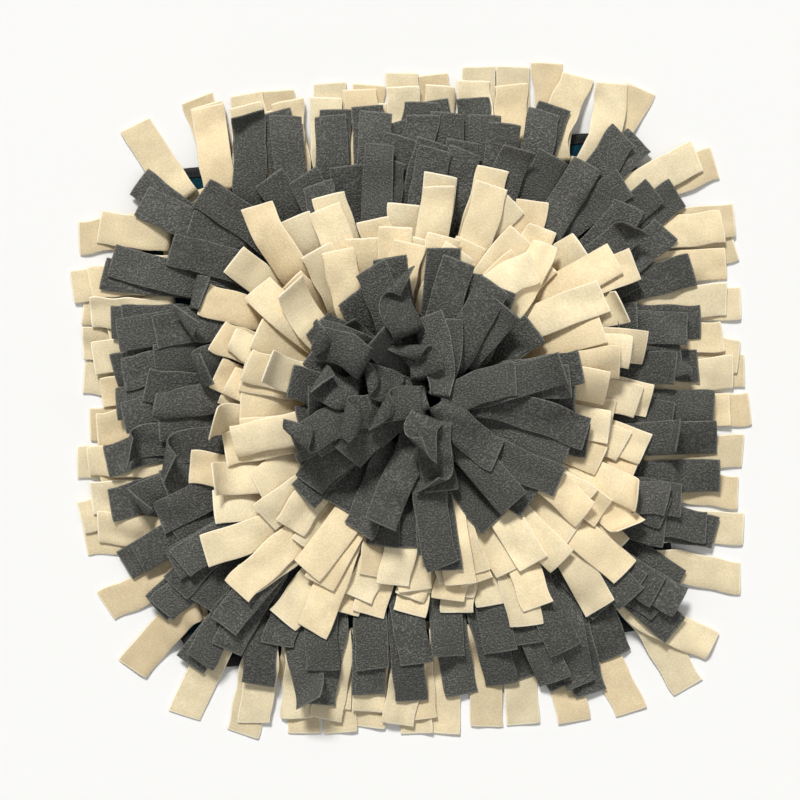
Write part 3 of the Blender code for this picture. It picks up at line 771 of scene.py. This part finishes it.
def roll_over(strip, sheet, places, rows_ahead):
    """Rolls a strip's end up and back over itself, about an axis that lies askew."""
    start = int(np.searchsorted(places, places[-1] - strip.rolled_length)) - 1
    middle = sheet[:, sheet.shape[1] // 2]
    ahead = scaled_to_one(middle[min(start + rows_ahead, len(places) - 1)] - middle[start])
    side = scaled_to_one(sheet[start, -1] - sheet[start, 0])
    up = np.cross(side, ahead)
    straight, slanted = math.cos(strip.askew), math.sin(strip.askew)
    along = places[start:] - places[start]
    clear = STRIP_WIDTH / 2 * abs(slanted / straight)
    beyond = (along[:, None] - clear) * straight - COLUMNS[None, :] * STRIP_WIDTH * slanted
    beyond = np.maximum(beyond, 0.0)
    radius = (along[-1] - clear) * straight / strip.rolled * strip.ease
    turned = np.minimum(beyond / radius, strip.rolled)
    rest = beyond - turned * radius
    back = radius * np.sin(turned) + rest * np.cos(turned) - beyond
    rise = radius * (1 - np.cos(turned)) + rest * np.sin(turned)
    flat = sheet[start] + along[:, None, None] * ahead
    sheet[start:] = flat + back[:, :, None] * (ahead * straight - side * slanted) + rise[:, :, None] * up


def sheet_of(strip, field):
    """Rows of points down the middle surface of a laid strip, with the length and fullness at each."""
    points, sides, distances, beside, heights = drape(strip, field)
    rise_places = RISE_REACH * (1 - np.cos(RISE_ANGLES))
    length = distances[-1]
    tip = length - TIP_ROUNDING[0][0]
    count = int(math.ceil((tip - RISE_REACH) / STATION_SPACING))
    along = np.linspace(RISE_REACH, tip, count)
    ends = [length - back for back, _ in TIP_ROUNDING[1:]]
    places = np.concatenate([rise_places, along, ends])
    heights = across_to(COLUMNS, LAYING_COLUMNS, at_places(places, distances, heights))
    beside = across_to(COLUMNS, LAYING_COLUMNS, at_places(places, distances, beside))
    over = heights[len(rise_places)]
    centre = at_places(places, distances, points)
    side = at_places(places, distances, sides)
    # The root stays on its seam, and the strip leans from there to where it comes up
    for row, angle in enumerate(RISE_ANGLES):
        share = math.sin(angle) ** 2
        heights[row] = strip.root[2] + (over - strip.root[2]) * math.sin(angle)
        beside[row] = beside[row] * share + COLUMNS * STRIP_WIDTH * (1 - share)
        centre[row] = strip.root * (1 - share) + centre[row] * share
        side[row] = strip.side * (1 - share) + side[row] * share
    sheet = centre[:, None, :] + side[:, None, :] * beside[:, :, None]
    sheet[:, :, 2] = heights
    # The tip is cut a little askew, with its corners eased
    ahead = np.stack([-side[:, 1], side[:, 0], np.zeros(len(side))], axis=1)
    slant = strip.skew * COLUMNS[None, :] * STRIP_WIDTH * (places[:, None] / length) ** 6
    slant = slant - CORNER_EASE * (2 * abs(COLUMNS[None, :])) ** 10 * (places[:, None] / length) ** 40
    sheet += ahead[:, None, :] * slant[:, :, None]
    if strip.curl:
        curl_up(strip, sheet, int(np.searchsorted(places, length - CURL_LENGTH)) - 1)
    if strip.rolled:
        roll_over(strip, sheet, places, 1)
    fullness = np.concatenate([np.ones(len(places) - 2), [share for _, share in TIP_ROUNDING[1:]]])
    return sheet, places, fullness


def normals_of(sheet):
    """The unit normal at each point of a surface of rows."""
    down, across = np.gradient(sheet, axis=0), np.gradient(sheet, axis=1)
    normals = np.cross(across, down)
    return normals / np.maximum(np.linalg.norm(normals, axis=2), 1e-12)[:, :, None]


def finer(surface):
    """Many points on a surface of rows, close enough together to cover the height field."""
    rows = np.arange(len(surface))
    down = np.linspace(0, len(surface) - 1, (len(surface) - 1) * COVER_ROWS + 1)
    across = np.linspace(-0.5, 0.5, COVER_COLUMNS)
    dense = [across_to(across, COLUMNS, at_places(down, rows, surface[:, :, axis])) for axis in range(3)]
    return np.stack(dense, axis=2).reshape(-1, 3)


def both_sides(sheet, fullness):
    """The upper and the lower surface of a strip with this middle surface."""
    thick = normals_of(sheet) * (STRIP_THICKNESS / 2 * FULLNESS[None, :] * fullness[:, None])[:, :, None]
    return sheet + thick, sheet - thick


def rounds_of(above, below):
    """Rows of points that go round a strip's section, over its upper and then its lower surface."""
    return np.concatenate([above[:, ::-1], below[:, 1:-1]], axis=1)


def lay(strip, field):
    """A closed skin round a strip that is laid on the field: its points, faces and fleece values."""
    sheet, places, fullness = sheet_of(strip, field)
    laid.append((strip, sheet, places, fullness))
    above, below = both_sides(sheet, fullness)
    field.cover(np.concatenate([finer(above), finer(below)]))
    width = len(COLUMNS)
    rounds = rounds_of(above, below)
    count = rounds.shape[1]
    shares = np.concatenate([COLUMNS[::-1], COLUMNS[1:-1]])
    cut = np.concatenate([FULLNESS[::-1], FULLNESS[1:-1]]) < 0.9
    weave = np.zeros(rounds.shape)
    weave[:, :, 0] = shares * STRIP_WIDTH + strip.weave
    weave[:, :, 1] = places[:, None]
    weave[:, :, 2] = (np.arange(count) >= width) * 0.05 + strip.weave * 3
    cut_edge = np.maximum(cut[None, :], (fullness < 0.9)[:, None]).astype(float)
    faces = []
    for row in range(len(places) - 1):
        faces += quads_between(row * count, (row + 1) * count, count, inward=True)
    last = (len(places) - 1) * count
    for end, order in ((0, 1), (last, -1)):
        for k in range(width - 1):
            quad = [end + k, end + k + 1, end + (count - k - 1) % count, end + (count - k) % count]
            quad = list(dict.fromkeys(quad))
            faces.append(tuple(quad[::order]))
    return rounds.reshape(-1, 3), faces, weave.reshape(-1, 3), cut_edge.ravel()


def tape_skin(frames):
    """The narrow seam tape: a flat closed band under the roots, with its corners eased."""
    points = []
    for middle, side, out in frames:
        for end in (-1, 1):
            edge = middle + side * end * STRIP_WIDTH / 2
            points += [
                edge + out * TAPE_WIDTH * a + UP * (TAPE_TOP + TAPE_THICKNESS * b) for a, b in TAPE_SECTION
            ]
    count, around = len(points) // len(TAPE_SECTION), len(TAPE_SECTION)
    faces = []
    for line in range(count):
        faces += quads_between(line * around, (line + 1) % count * around, around, inward=True)
    return np.array(points), faces


def sewn_strip(frame, heading, reach, row, kind, ring, fan, chance, looks):
    """One strip on its seam. The lower row and fillers lie pressed flat, and the upper row is loose."""
    middle, side, out = frame
    normal = math.degrees(math.atan2(out[0], out[1]))
    # The lower strip of a pair is sewn along the tape's outer edge
    offset = STRIP_THICKNESS / 2 + (ROW_SPACING if row == 0 else 0)
    # A strip that heads back over its tape bends the other way from its seam
    way = -1 if abs(turn_between(normal, heading)) > 90 else 1
    free = FREEDOM[kind]
    strong = looks.choice([1, 1, 1, STRONG_CUP])
    return Strip(
        root=middle + out * offset + UP * TAPE_TOP,
        side=side * way,
        out=out * way,
        heading=heading + chance.uniform(-1, 1) * UNEVEN_HEADING[row],
        reach=reach + offset + chance.uniform(-1, 1) * UNEVEN_REACH,
        bend=fan.bend + chance.uniform(-1, 1) * UNEVEN_BEND,
        lift=(fan.lift + chance.uniform(0, 1) * LOOSENESS) * min(1, free * 2),
        roll=chance.uniform(-1, 1) * UNEVEN_ROLL + math.radians(fan.twist) * row,
        curl=math.radians(fan.curl) * row,
        lean=ring.lean,
        gather=ring.gather * looks.uniform(0.6, 1.2) * looks.choice([1, 1, 1, -1]) * free,
        turned=looks.uniform(-1, 1) * min(MOST_TURNED, MOST_TURNED * ring.gather) * free,
        tilt=looks.uniform(-1, 1) * MOST_TILT * free,
        cup=looks.uniform(-MOST_CUP, MOST_CUP) * strong * free,
        sway=looks.uniform(-1, 1) * MOST_SWAY,
        ripple=looks.uniform(0.1, 1) * MOST_RIPPLE * free,
        slant=looks.uniform(-1, 1) * MOST_SLANT,
        phase=looks.uniform(0, 1),
        skew=looks.uniform(-1, 1) * MOST_SKEW,
        # Painted shade by layer, darker for fillers and the lower row, with a random tone added
        tone=PAINTED_LAYER_SHADE[kind] + looks.uniform(*UNEVEN_TONE),
        weave=looks.uniform(0, 1),
    )


def strips_of(frames, fans, ring, chance, looks):
    """A fringe's strips in four layers: fillers, the lower row, a few doubled ones, and the upper row."""
    layers = ({}, {}, {}, {})
    headings = []
    for fan in fans:
        for step in range(fan.cells):
            share = step / max(1, fan.cells - 1)
            heading = fan.first + turn_between(fan.first, fan.last) * share
            cell = len(headings)
            for row, extra in ((0, 0), (1, fan.second)):
                if extra is not None:
                    reach = fan.reach + fan.more * row
                    layers[1 + 2 * row][cell] = sewn_strip(
                        frames[cell], heading + extra, reach, row, 1 + row, ring, fan, chance, looks
                    )
            headings.append((heading, fan))
    for cell, (heading, fan) in enumerate(headings):
        next_heading, next_fan = headings[(cell + 1) % len(headings)]
        apart = turn_between(heading, next_heading)
        frame = frames[cell]
        following = frames[(cell + 1) % len(frames)]
        if abs(apart) > FILLED_FROM and ring.filled[0] < heading < ring.filled[1]:
            side = scaled_to_one(frame[1] + following[1])
            between = ((frame[0] + following[0]) / 2, side, outward_of(side))
            reach = (fan.reach + next_fan.reach) / 2 * FILLER_REACH
            layers[0][cell] = sewn_strip(
                between, heading + apart / 2, reach, 0, 0, ring, PLAIN_FAN, looks, looks
            )
        if looks.uniform() < DOUBLED_SHARE and fan.second is not None:
            turn = fan.second * looks.uniform(0.2, 1.2) + looks.uniform(-1, 1) * DOUBLED_TURN
            reach = fan.reach + looks.uniform(*DOUBLED_REACH)
            layers[2][cell] = sewn_strip(
                frame, heading + turn, reach, 1, 1, ring, PLAIN_FAN, looks, looks
            )
    return layers


lying = Field()
laid = []
fringes = []
tape_sizes = []


def skin_part(points, faces, weave, cut_edge, tone, warmth):
    """One strip's or tape's skin, with its values at each point."""
    return points, faces, weave, cut_edge, np.full(len(points), tone), np.full(len(points), warmth)


def join_parts(name, parts, fleece):
    """One object of many skins."""
    starts = np.cumsum([0] + [len(part[0]) for part in parts])
    all_faces = [
        tuple(int(start + corner_point) for corner_point in face)
        for start, part in zip(starts, parts)
        for face in part[1]
    ]
    mesh = bpy.data.meshes.new(name)
    mesh.from_pydata(np.concatenate([part[0] for part in parts]).tolist(), [], all_faces)
    shade_smooth(mesh)
    add_fleece_values(mesh, *(np.concatenate([part[k] for part in parts]) for k in (2, 3, 4, 5)))
    mesh.materials.append(fleece)
    return new_object(name, mesh)


def make_fringe(name, node, fleece, ring, fans):
    """Sews a fringe to its tape, lays its strips in a loose order, lower row first, and joins them."""
    number = len(fringes) + 1
    chance = np.random.default_rng(LAYING_SEED + number)
    looks = np.random.default_rng(LOOKS_SEED + number)
    frames = cell_frames(np.array([*ring.centre, 0.0]), ring.half_side, ring.corner, ring.cells)
    steps = np.linspace(0, 1, 36)
    along, beyond = np.meshgrid(steps * STRIP_WIDTH, steps[::4] * TAPE_WIDTH)
    for middle, side, out in frames:
        start = middle - side * STRIP_WIDTH / 2 + UP * TAPE_TOP
        lying.cover(start + side * along.reshape(-1, 1) + out * beyond.reshape(-1, 1))
    points, faces = tape_skin(frames)
    parts = [skin_part(points, faces, points, np.zeros(len(points)), 1.0, 0.5)]
    for layer, strips in enumerate(strips_of(frames, fans, ring, chance, looks)):
        order = chance if layer in (1, 3) else looks
        for cell in order.permutation(list(strips)) if strips else ():
            strip = strips[cell]
            parts.append(skin_part(*lay(strip, lying), ring.tone * strip.tone, strip.weave))
    fringe = join_parts(name, parts, fleece)
    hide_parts(node)
    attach(fringe, "root")
    fringes.append(fringe)
    tape_sizes.append(len(points))


cream_fleece = fleece_material(
    "cream_fleece", CREAM_LOW, CREAM_HIGH, CREAM_EDGE_HIGHLIGHT, CREAM_TINTS, 0.0012, 0.2, 0.12
)
OUTER_FANS = fans_of(
    (4, 10, 0, 0.065, -4),
    (1, 6, 6, 0.068, 14, 0, 0.0008),
    (1, 40, 40, 0.066, -14, -18, 0.0008),
    (1, 74, 74, 0.074, -6, 0, 0.0004),
    (2, 87, 84, 0.078, 5, 0, 0.0012),
    (4, 98, 96, 0.076, -5),
    (4, 101, 97, 0.069),
    (1, 147, 147, 0.076, -22, 0, 0.0012, -30),
    (1, 168, 168, 0.074),
    (4, 180, 186, 0.076),
    (1, 185, 185, 0.077, 5),
    (3, 184, 181, 0.065, 5),
    (1, 196, 196, 0.065, -8),
    (1, 207, 207, 0.061),
    (2, 229, 249, 0.070, None, 0, 0.0004),
    (3, 268, 263, 0.072, 6, 0, 0, 25),
    (5, 275, 270, 0.064, -5),
    (1, 276, 276, 0.058, 5, 0, 0.0004),
    (1, 327, 327, 0.066, None, 0, 0.0004),
    (1, 347, 347, 0.068, 5, 0, 0.0004),
    (4, 355, 6, 0.065, -5),
)
make_fringe(
    "outer_cream_fringe", "fringe_1_cream", cream_fleece,
    Ring((0.0, 0.0), 0.166, 0.034, 46, 0, 0.1, 0.905, NO_BEARINGS), OUTER_FANS,
)

# ---- Fringe 2, charcoal ----
# The outer of two squares of charcoal fleece strips. Its longest strips lie over the roots of
# the cream strips outside it, and a few twist on edge at the left and right sides.

CHARCOAL_LOW = (0.100, 0.100, 0.091)
CHARCOAL_HIGH = (0.212, 0.212, 0.194)
# The colour of the painted highlight along the strips' cut edges
CHARCOAL_EDGE_HIGHLIGHT = (0.29, 0.29, 0.268)
CHARCOAL_TINTS = ((0.93, 0.94, 0.94), (1.05, 1.06, 1.05))
charcoal_fleece = fleece_material(
    "charcoal_fleece", CHARCOAL_LOW, CHARCOAL_HIGH, CHARCOAL_EDGE_HIGHLIGHT, CHARCOAL_TINTS, 0.0013, 1.0, 0.15
)
SECOND_FANS = fans_of(
    (3, 6, -3, 0.073, 5),
    (1, 30, 30, 0.071, -6, 0, 0.0004),
    (2, 50, 57, 0.077, -7, 0, 0.0008),
    (1, 88, 88, 0.077, -34, -8, 0.0008),
    (1, 93, 93, 0.077, 6),
    (1, 95, 95, 0.075, 3, 0, 0.0004, 80),
    (3, 97, 96, 0.081),
    (1, 106, 106, 0.079, -6, 0, 0.0004),
    (1, 140, 140, 0.081, -20, 0, 0.0008),
    (2, 168, 161, 0.085, 6, 0, 0.0004),
    (5, 177, 185, 0.075),
    (1, 164, 164, 0.077),
    (2, 226, 234, 0.071, -6, 0, 0.0008),
    (3, 242, 266, 0.083, 6),
    (3, 270, 272, 0.073, -6),
    (1, 274, 274, 0.075, 12, 8, 0.0012),
    (1, 312, 312, 0.073, -7, 0, 0.0012),
    (1, 357, 357, 0.085),
    (3, 356, 3, 0.079, 5),
)
make_fringe(
    "outer_charcoal_fringe", "fringe_2_charcoal", charcoal_fleece,
    Ring((0.0, 0.0), 0.135, 0.036, 36, 0, 0.15, 1.08, (90, 165)), SECOND_FANS,
)

# ---- Fringe 3, charcoal ----
# The second square of charcoal strips, sewn a little further in, so that its tips lie in
# stepped layers over the first.

THIRD_FANS = fans_of(
    (2, 12, 8, 0.073, 9, 0, 0.0004),
    (1, 13, 13, 0.078, 9, 0, 0.0004),
    (1, 54, 54, 0.080, -14, 0, 0.0008),
    (1, 52, 52, 0.084, 10, -16, 0.0012),
    (1, 88, 88, 0.056, 4, 0, 0.0016, 0, 90),
    (3, 97, 97, 0.080),
    (1, 102, 102, 0.080, 8),
    (1, 124, 124, 0.084, 16, 0, 0.0008),
    (1, 162, 162, 0.080),
    (5, 176, 184, 0.076),
    (2, 216, 232, 0.080, 8, 0, 0.0008),
    (2, 247, 262, 0.078),
    (1, 280, 280, 0.076, -12, 10, 0.0008, 40),
    (2, 272, 268, 0.062, -10, 0, 0.0008),
    (1, 289, 289, 0.068, None, 0, 0.0008),
    (1, 303, 303, 0.084, None, 0, 0.0008),
    (1, 342, 342, 0.054, 4, 0, 0.005),
    (1, 18, 18, 0.078, -10),
)
make_fringe(
    "second_charcoal_fringe", "fringe_3_charcoal", charcoal_fleece,
    Ring((0.0, 0.0), 0.109, 0.036, 28, 0.02, 0.2, 1.05, ALL_BEARINGS), THIRD_FANS,
)

# ---- Fringe 4, cream ----
# The first of two squares of cream strips. They stand higher than the charcoal below them,
# and some reach far out over it.

FOURTH_FANS = fans_of(
    (1, 22, 22, 0.067, 3, -14, 0.0016),
    (1, 30, 30, 0.073, 4, -14, 0.0016),
    (1, 48, 48, 0.055, 18, -40, 0.0016, -50),
    (1, 78, 78, 0.079, -8, 0, 0.0008),
    (2, 98, 104, 0.077, 6),
    (1, 112, 112, 0.073, 7),
    (1, 138, 138, 0.087, -14),
    (1, 158, 158, 0.093, -20),
    (1, 168, 168, 0.079, -9),
    (3, 186, 201, 0.063, 9, 0, 0.0004),
    (1, 224, 224, 0.083, -17, 0, 0.0008),
    (1, 262, 262, 0.085, -34),
    (1, 282, 282, 0.073, -10, 0, 0.0008, 0, 70),
    (1, 292, 292, 0.069, None, 0, 0.0008),
    (2, 306, 308, 0.051, -9, 0, 0.0012, 30),
    (1, 298, 298, 0.063, None, 0, 0.0012),
    (1, 322, 322, 0.071, None, 22, 0.0016),
    (1, 350, 350, 0.059, -8, 0, 0.0008),
    (1, 347, 347, 0.041, None, 0, 0.0012),
)
make_fringe(
    "middle_cream_fringe", "fringe_4_cream", cream_fleece,
    Ring((0.006, 0.0), 0.086, 0.035, 23, 0.05, 0.3, 1.0, ALL_BEARINGS), FOURTH_FANS,
)

# ---- Fringe 5, cream ----
# The second square of cream strips, sewn close inside the first.

FIFTH_FANS = fans_of(
    (1, 26, 26, 0.047, 14, 0, 0.0016),
    (1, 46, 46, 0.061, 12, 12, 0.0012),
    (1, 70, 70, 0.077, -42, 0, 0.0016, 35),
    (2, 96, 104, 0.073, 6),
    (2, 128, 142, 0.079, 9),
    (2, 162, 178, 0.071, 16, 0, 0.0004),
    (1, 211, 211, 0.075, 14),
    (1, 238, 238, 0.063, -18),
    (1, 258, 258, 0.071, 8, 0, 0.0004),
    (1, 284, 284, 0.059, 12, 0, 0.0012, 0, 70),
    (1, 318, 318, 0.061, 15, 0, 0.0012),
    (1, 338, 338, 0.051, 14, 0, 0.0012),
    (1, 9, 9, 0.057, 14, 0, 0.0012, -20),
)
make_fringe(
    "inner_cream_fringe", "fringe_5_cream", cream_fleece,
    Ring((0.008, 0.0), 0.063, 0.034, 16, 0.12, 0.4, 1.03, ALL_BEARINGS), FIFTH_FANS,
)

# ---- Fringe 6, charcoal ----
# The first charcoal square of the mat's crown. Its strips turn over the cream ones.

SIXTH_FANS = fans_of(
    (1, 5, 5, 0.060, 18, 0, 0.0012),
    (1, 28, 28, 0.044, 16, 0, 0.0016),
    (1, 84, 84, 0.063, 7),
    (1, 104, 104, 0.066, 10, 0, 0.0004),
    (1, 128, 128, 0.054, 9, 0, 0.0004),
    (1, 172, 172, 0.072, 12, 0, 0.0008),
    (1, 196, 196, 0.060, 18, 0, 0.0008),
    (1, 227, 227, 0.058, 15, 0, 0.0004),
    (1, 294, 294, 0.046, -24, 0, 0.0012, 0, 60),
    (1, 312, 312, 0.040, 22, 0, 0.0012, 40, 90),
    (1, 355, 355, 0.056, -18, 0, 0.0016, -30),
)
make_fringe(
    "inner_charcoal_fringe", "fringe_6_charcoal", charcoal_fleece,
    Ring((0.012, -0.001), 0.044, 0.034, 11, 0.25, 0.7, 1.0, ALL_BEARINGS), SIXTH_FANS,
)

# ---- Fringe 7, charcoal ----
# A small square of charcoal strips close round the middle.

SEVENTH_FANS = fans_of(
    (1, 42, 42, 0.062, -39, 0, 0.0008, 0, 0, -0.026),
    (1, 115, 115, 0.086, -35, 0, 0.0008, 0, 0, -0.008),
    (1, 121, 121, 0.083, 24, 0, 0.0008, 0, 0, -0.008),
    (1, 167, 167, 0.093, 36, 0, 0.0008, 0, 0, -0.010),
    (1, 227, 227, 0.085, 16, 0, 0.0008, 0, 0, -0.016),
    (1, 294, 294, 0.064, 23, 0, 0.0008, 0, 60, -0.022),
)
make_fringe(
    "crown_charcoal_fringe", "fringe_7_charcoal", charcoal_fleece,
    Ring((0.015, -0.001), 0.026, 0.026, 6, 0.45, 1.1, 1.0, NO_BEARINGS), SEVENTH_FANS,
)

# ---- Fringe 8, charcoal ----
# Three pairs of strips at the very middle. The upper one of each pair bends back inwards, so
# that together they close over the middle.

HUB_FANS = fans_of(
    (1, 98, 98, 0.045, -115, 0, 0.0004, 0, 0, 0.014),
    (1, 174, 174, 0.050, -59, 0, 0.0004, 0, 0, 0.012),
    (1, 268, 268, 0.030, -45, 0, 0.0004, 0, 0, 0.044),
)
make_fringe(
    "hub_charcoal_fringe", "fringe_8_charcoal", charcoal_fleece,
    Ring((0.016, -0.001), 0.0133, 0.0133, 3, 0.78, 1.7, 1.0, NO_BEARINGS), HUB_FANS,
)

# ---- Crown curls ----
# Short charcoal strips at the left and the far side of the crown, sewn among those of the two
# inner squares, that stand up and roll back over themselves.

# One row for each: where it stands as a bearing and a distance from the middle, how it heads,
# reaches, bends and twists, and by how much it rolls over the length named, and how far askew
Curl = namedtuple("Curl", "bearing distance heading reach bend twist rolled length askew")
CURLS = (
    Curl(262, 0.058, 250, 0.058, 20, 10, 240, 0.030, 25),
    Curl(282, 0.052, 290, 0.050, -20, -12, 170, 0.026, -20),
    Curl(303, 0.054, 300, 0.054, 20, 12, 250, 0.030, 30),
    Curl(344, 0.050, 340, 0.052, 16, -20, 200, 0.028, 28),
    Curl(272, 0.026, 264, 0.060, -20, 10, 235, 0.034, -28),
    Curl(290, 0.022, 298, 0.042, 24, 0, 230, 0.025, 35),
    Curl(350, 0.016, 338, 0.040, -20, -14, 220, 0.026, -30),
    Curl(270, 0.006, 276, 0.046, -24, 0, 240, 0.028, -35),
    Curl(186, 0.012, 178, 0.060, 12, 0, 150, 0.024, 22),
    Curl(212, 0.010, 190, 0.036, -24, 8, 160, 0.022, -35),
)
CURL_SEED = 81
# The curls have no tape of their own, and only gather a little at the seam
CURL_RING = Ring(None, 0, 0, 0, 0, 0.7, 1.0, NO_BEARINGS)
crown_looks = np.random.default_rng(CURL_SEED)
curl_parts = []
for row in CURLS:
    out = unit(row.bearing)
    place = MIDDLE + out * row.distance, np.array([out[1], -out[0], 0.0]), out
    fan = Fan(1, 0, 0, 0.0, None, row.bend, 0.0, row.twist)
    strip = sewn_strip(place, row.heading, row.reach, 1, 1, CURL_RING, fan, crown_looks, crown_looks)
    strip = strip._replace(
        rolled=math.radians(row.rolled), rolled_length=row.length, askew=math.radians(row.askew)
    )
    curl_parts.append(skin_part(*lay(strip, lying), strip.tone, strip.weave))
crown_curls = join_parts("crown_curls", curl_parts, charcoal_fleece)
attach(crown_curls, "root")

# ---- Loose tips ----
# Where nothing lies over a strip's tip, some of them curl up or fold back over the strip, at a
# slant. The share of tips that do so is given for each fringe, from the outermost inwards.

SHARES_OF_LOOSE_TIPS = (0.05, 0.14, 0.14, 0.16, 0.16, 0.12, 0.1, 0.0)
TIP_ANGLES = (35, 105)
TIP_LENGTHS = (0.018, 0.034)
MOST_ASKEW = 32
# About two thirds of the uncovered charcoal tips that head left curl far over
LEFT_SIDE = (246, 286)
SHARE_AT_LEFT = 0.65
LEFT_ANGLES = (110, 165)
LEFT_LENGTHS = (0.026, 0.036)
COVERED_FROM = 0.004
MOST_COVERED = 0.12
MOST_TIP_ROLL = 0.8
TIP_SEED = 101

tip_looks = np.random.default_rng(TIP_SEED)
following = 0
for fringe, first, share in zip(fringes, tape_sizes, SHARES_OF_LOOSE_TIPS):
    mesh = fringe.data
    points = np.empty(len(mesh.vertices) * 3, np.float32)
    mesh.vertices.foreach_get("co", points)
    points = points.reshape(-1, 3)
    while first < len(points):
        strip, sheet, places, fullness = laid[following]
        following += 1
        count = len(places) * (2 * len(COLUMNS) - 2)
        at_left = fringe in (fringes[1], fringes[2]) and LEFT_SIDE[0] < strip.heading < LEFT_SIDE[1]
        chosen = tip_looks.uniform() < (SHARE_AT_LEFT if at_left else share)
        angles, lengths = (LEFT_ANGLES, LEFT_LENGTHS) if at_left else (TIP_ANGLES, TIP_LENGTHS)
        tip = strip._replace(
            rolled=math.radians(tip_looks.uniform(*angles)),
            rolled_length=tip_looks.uniform(*lengths),
            askew=math.radians(tip_looks.uniform(-1, 1) * MOST_ASKEW),
            ease=tip_looks.uniform(0.75, 1),
        )
        end = sheet[places > places[-1] - tip.rolled_length]
        cover = lying.at(end[:, :, 0], end[:, :, 1]) - end[:, :, 2]
        free = np.mean(cover > COVERED_FROM) < MOST_COVERED
        if chosen and free and not strip.curl and not strip.roll > MOST_TIP_ROLL:
            roll_over(tip, sheet, places, len(places))
            points[first : first + count] = rounds_of(*both_sides(sheet, fullness)).reshape(-1, 3)
        first += count
    mesh.vertices.foreach_set("co", points.ravel())
    mesh.update()
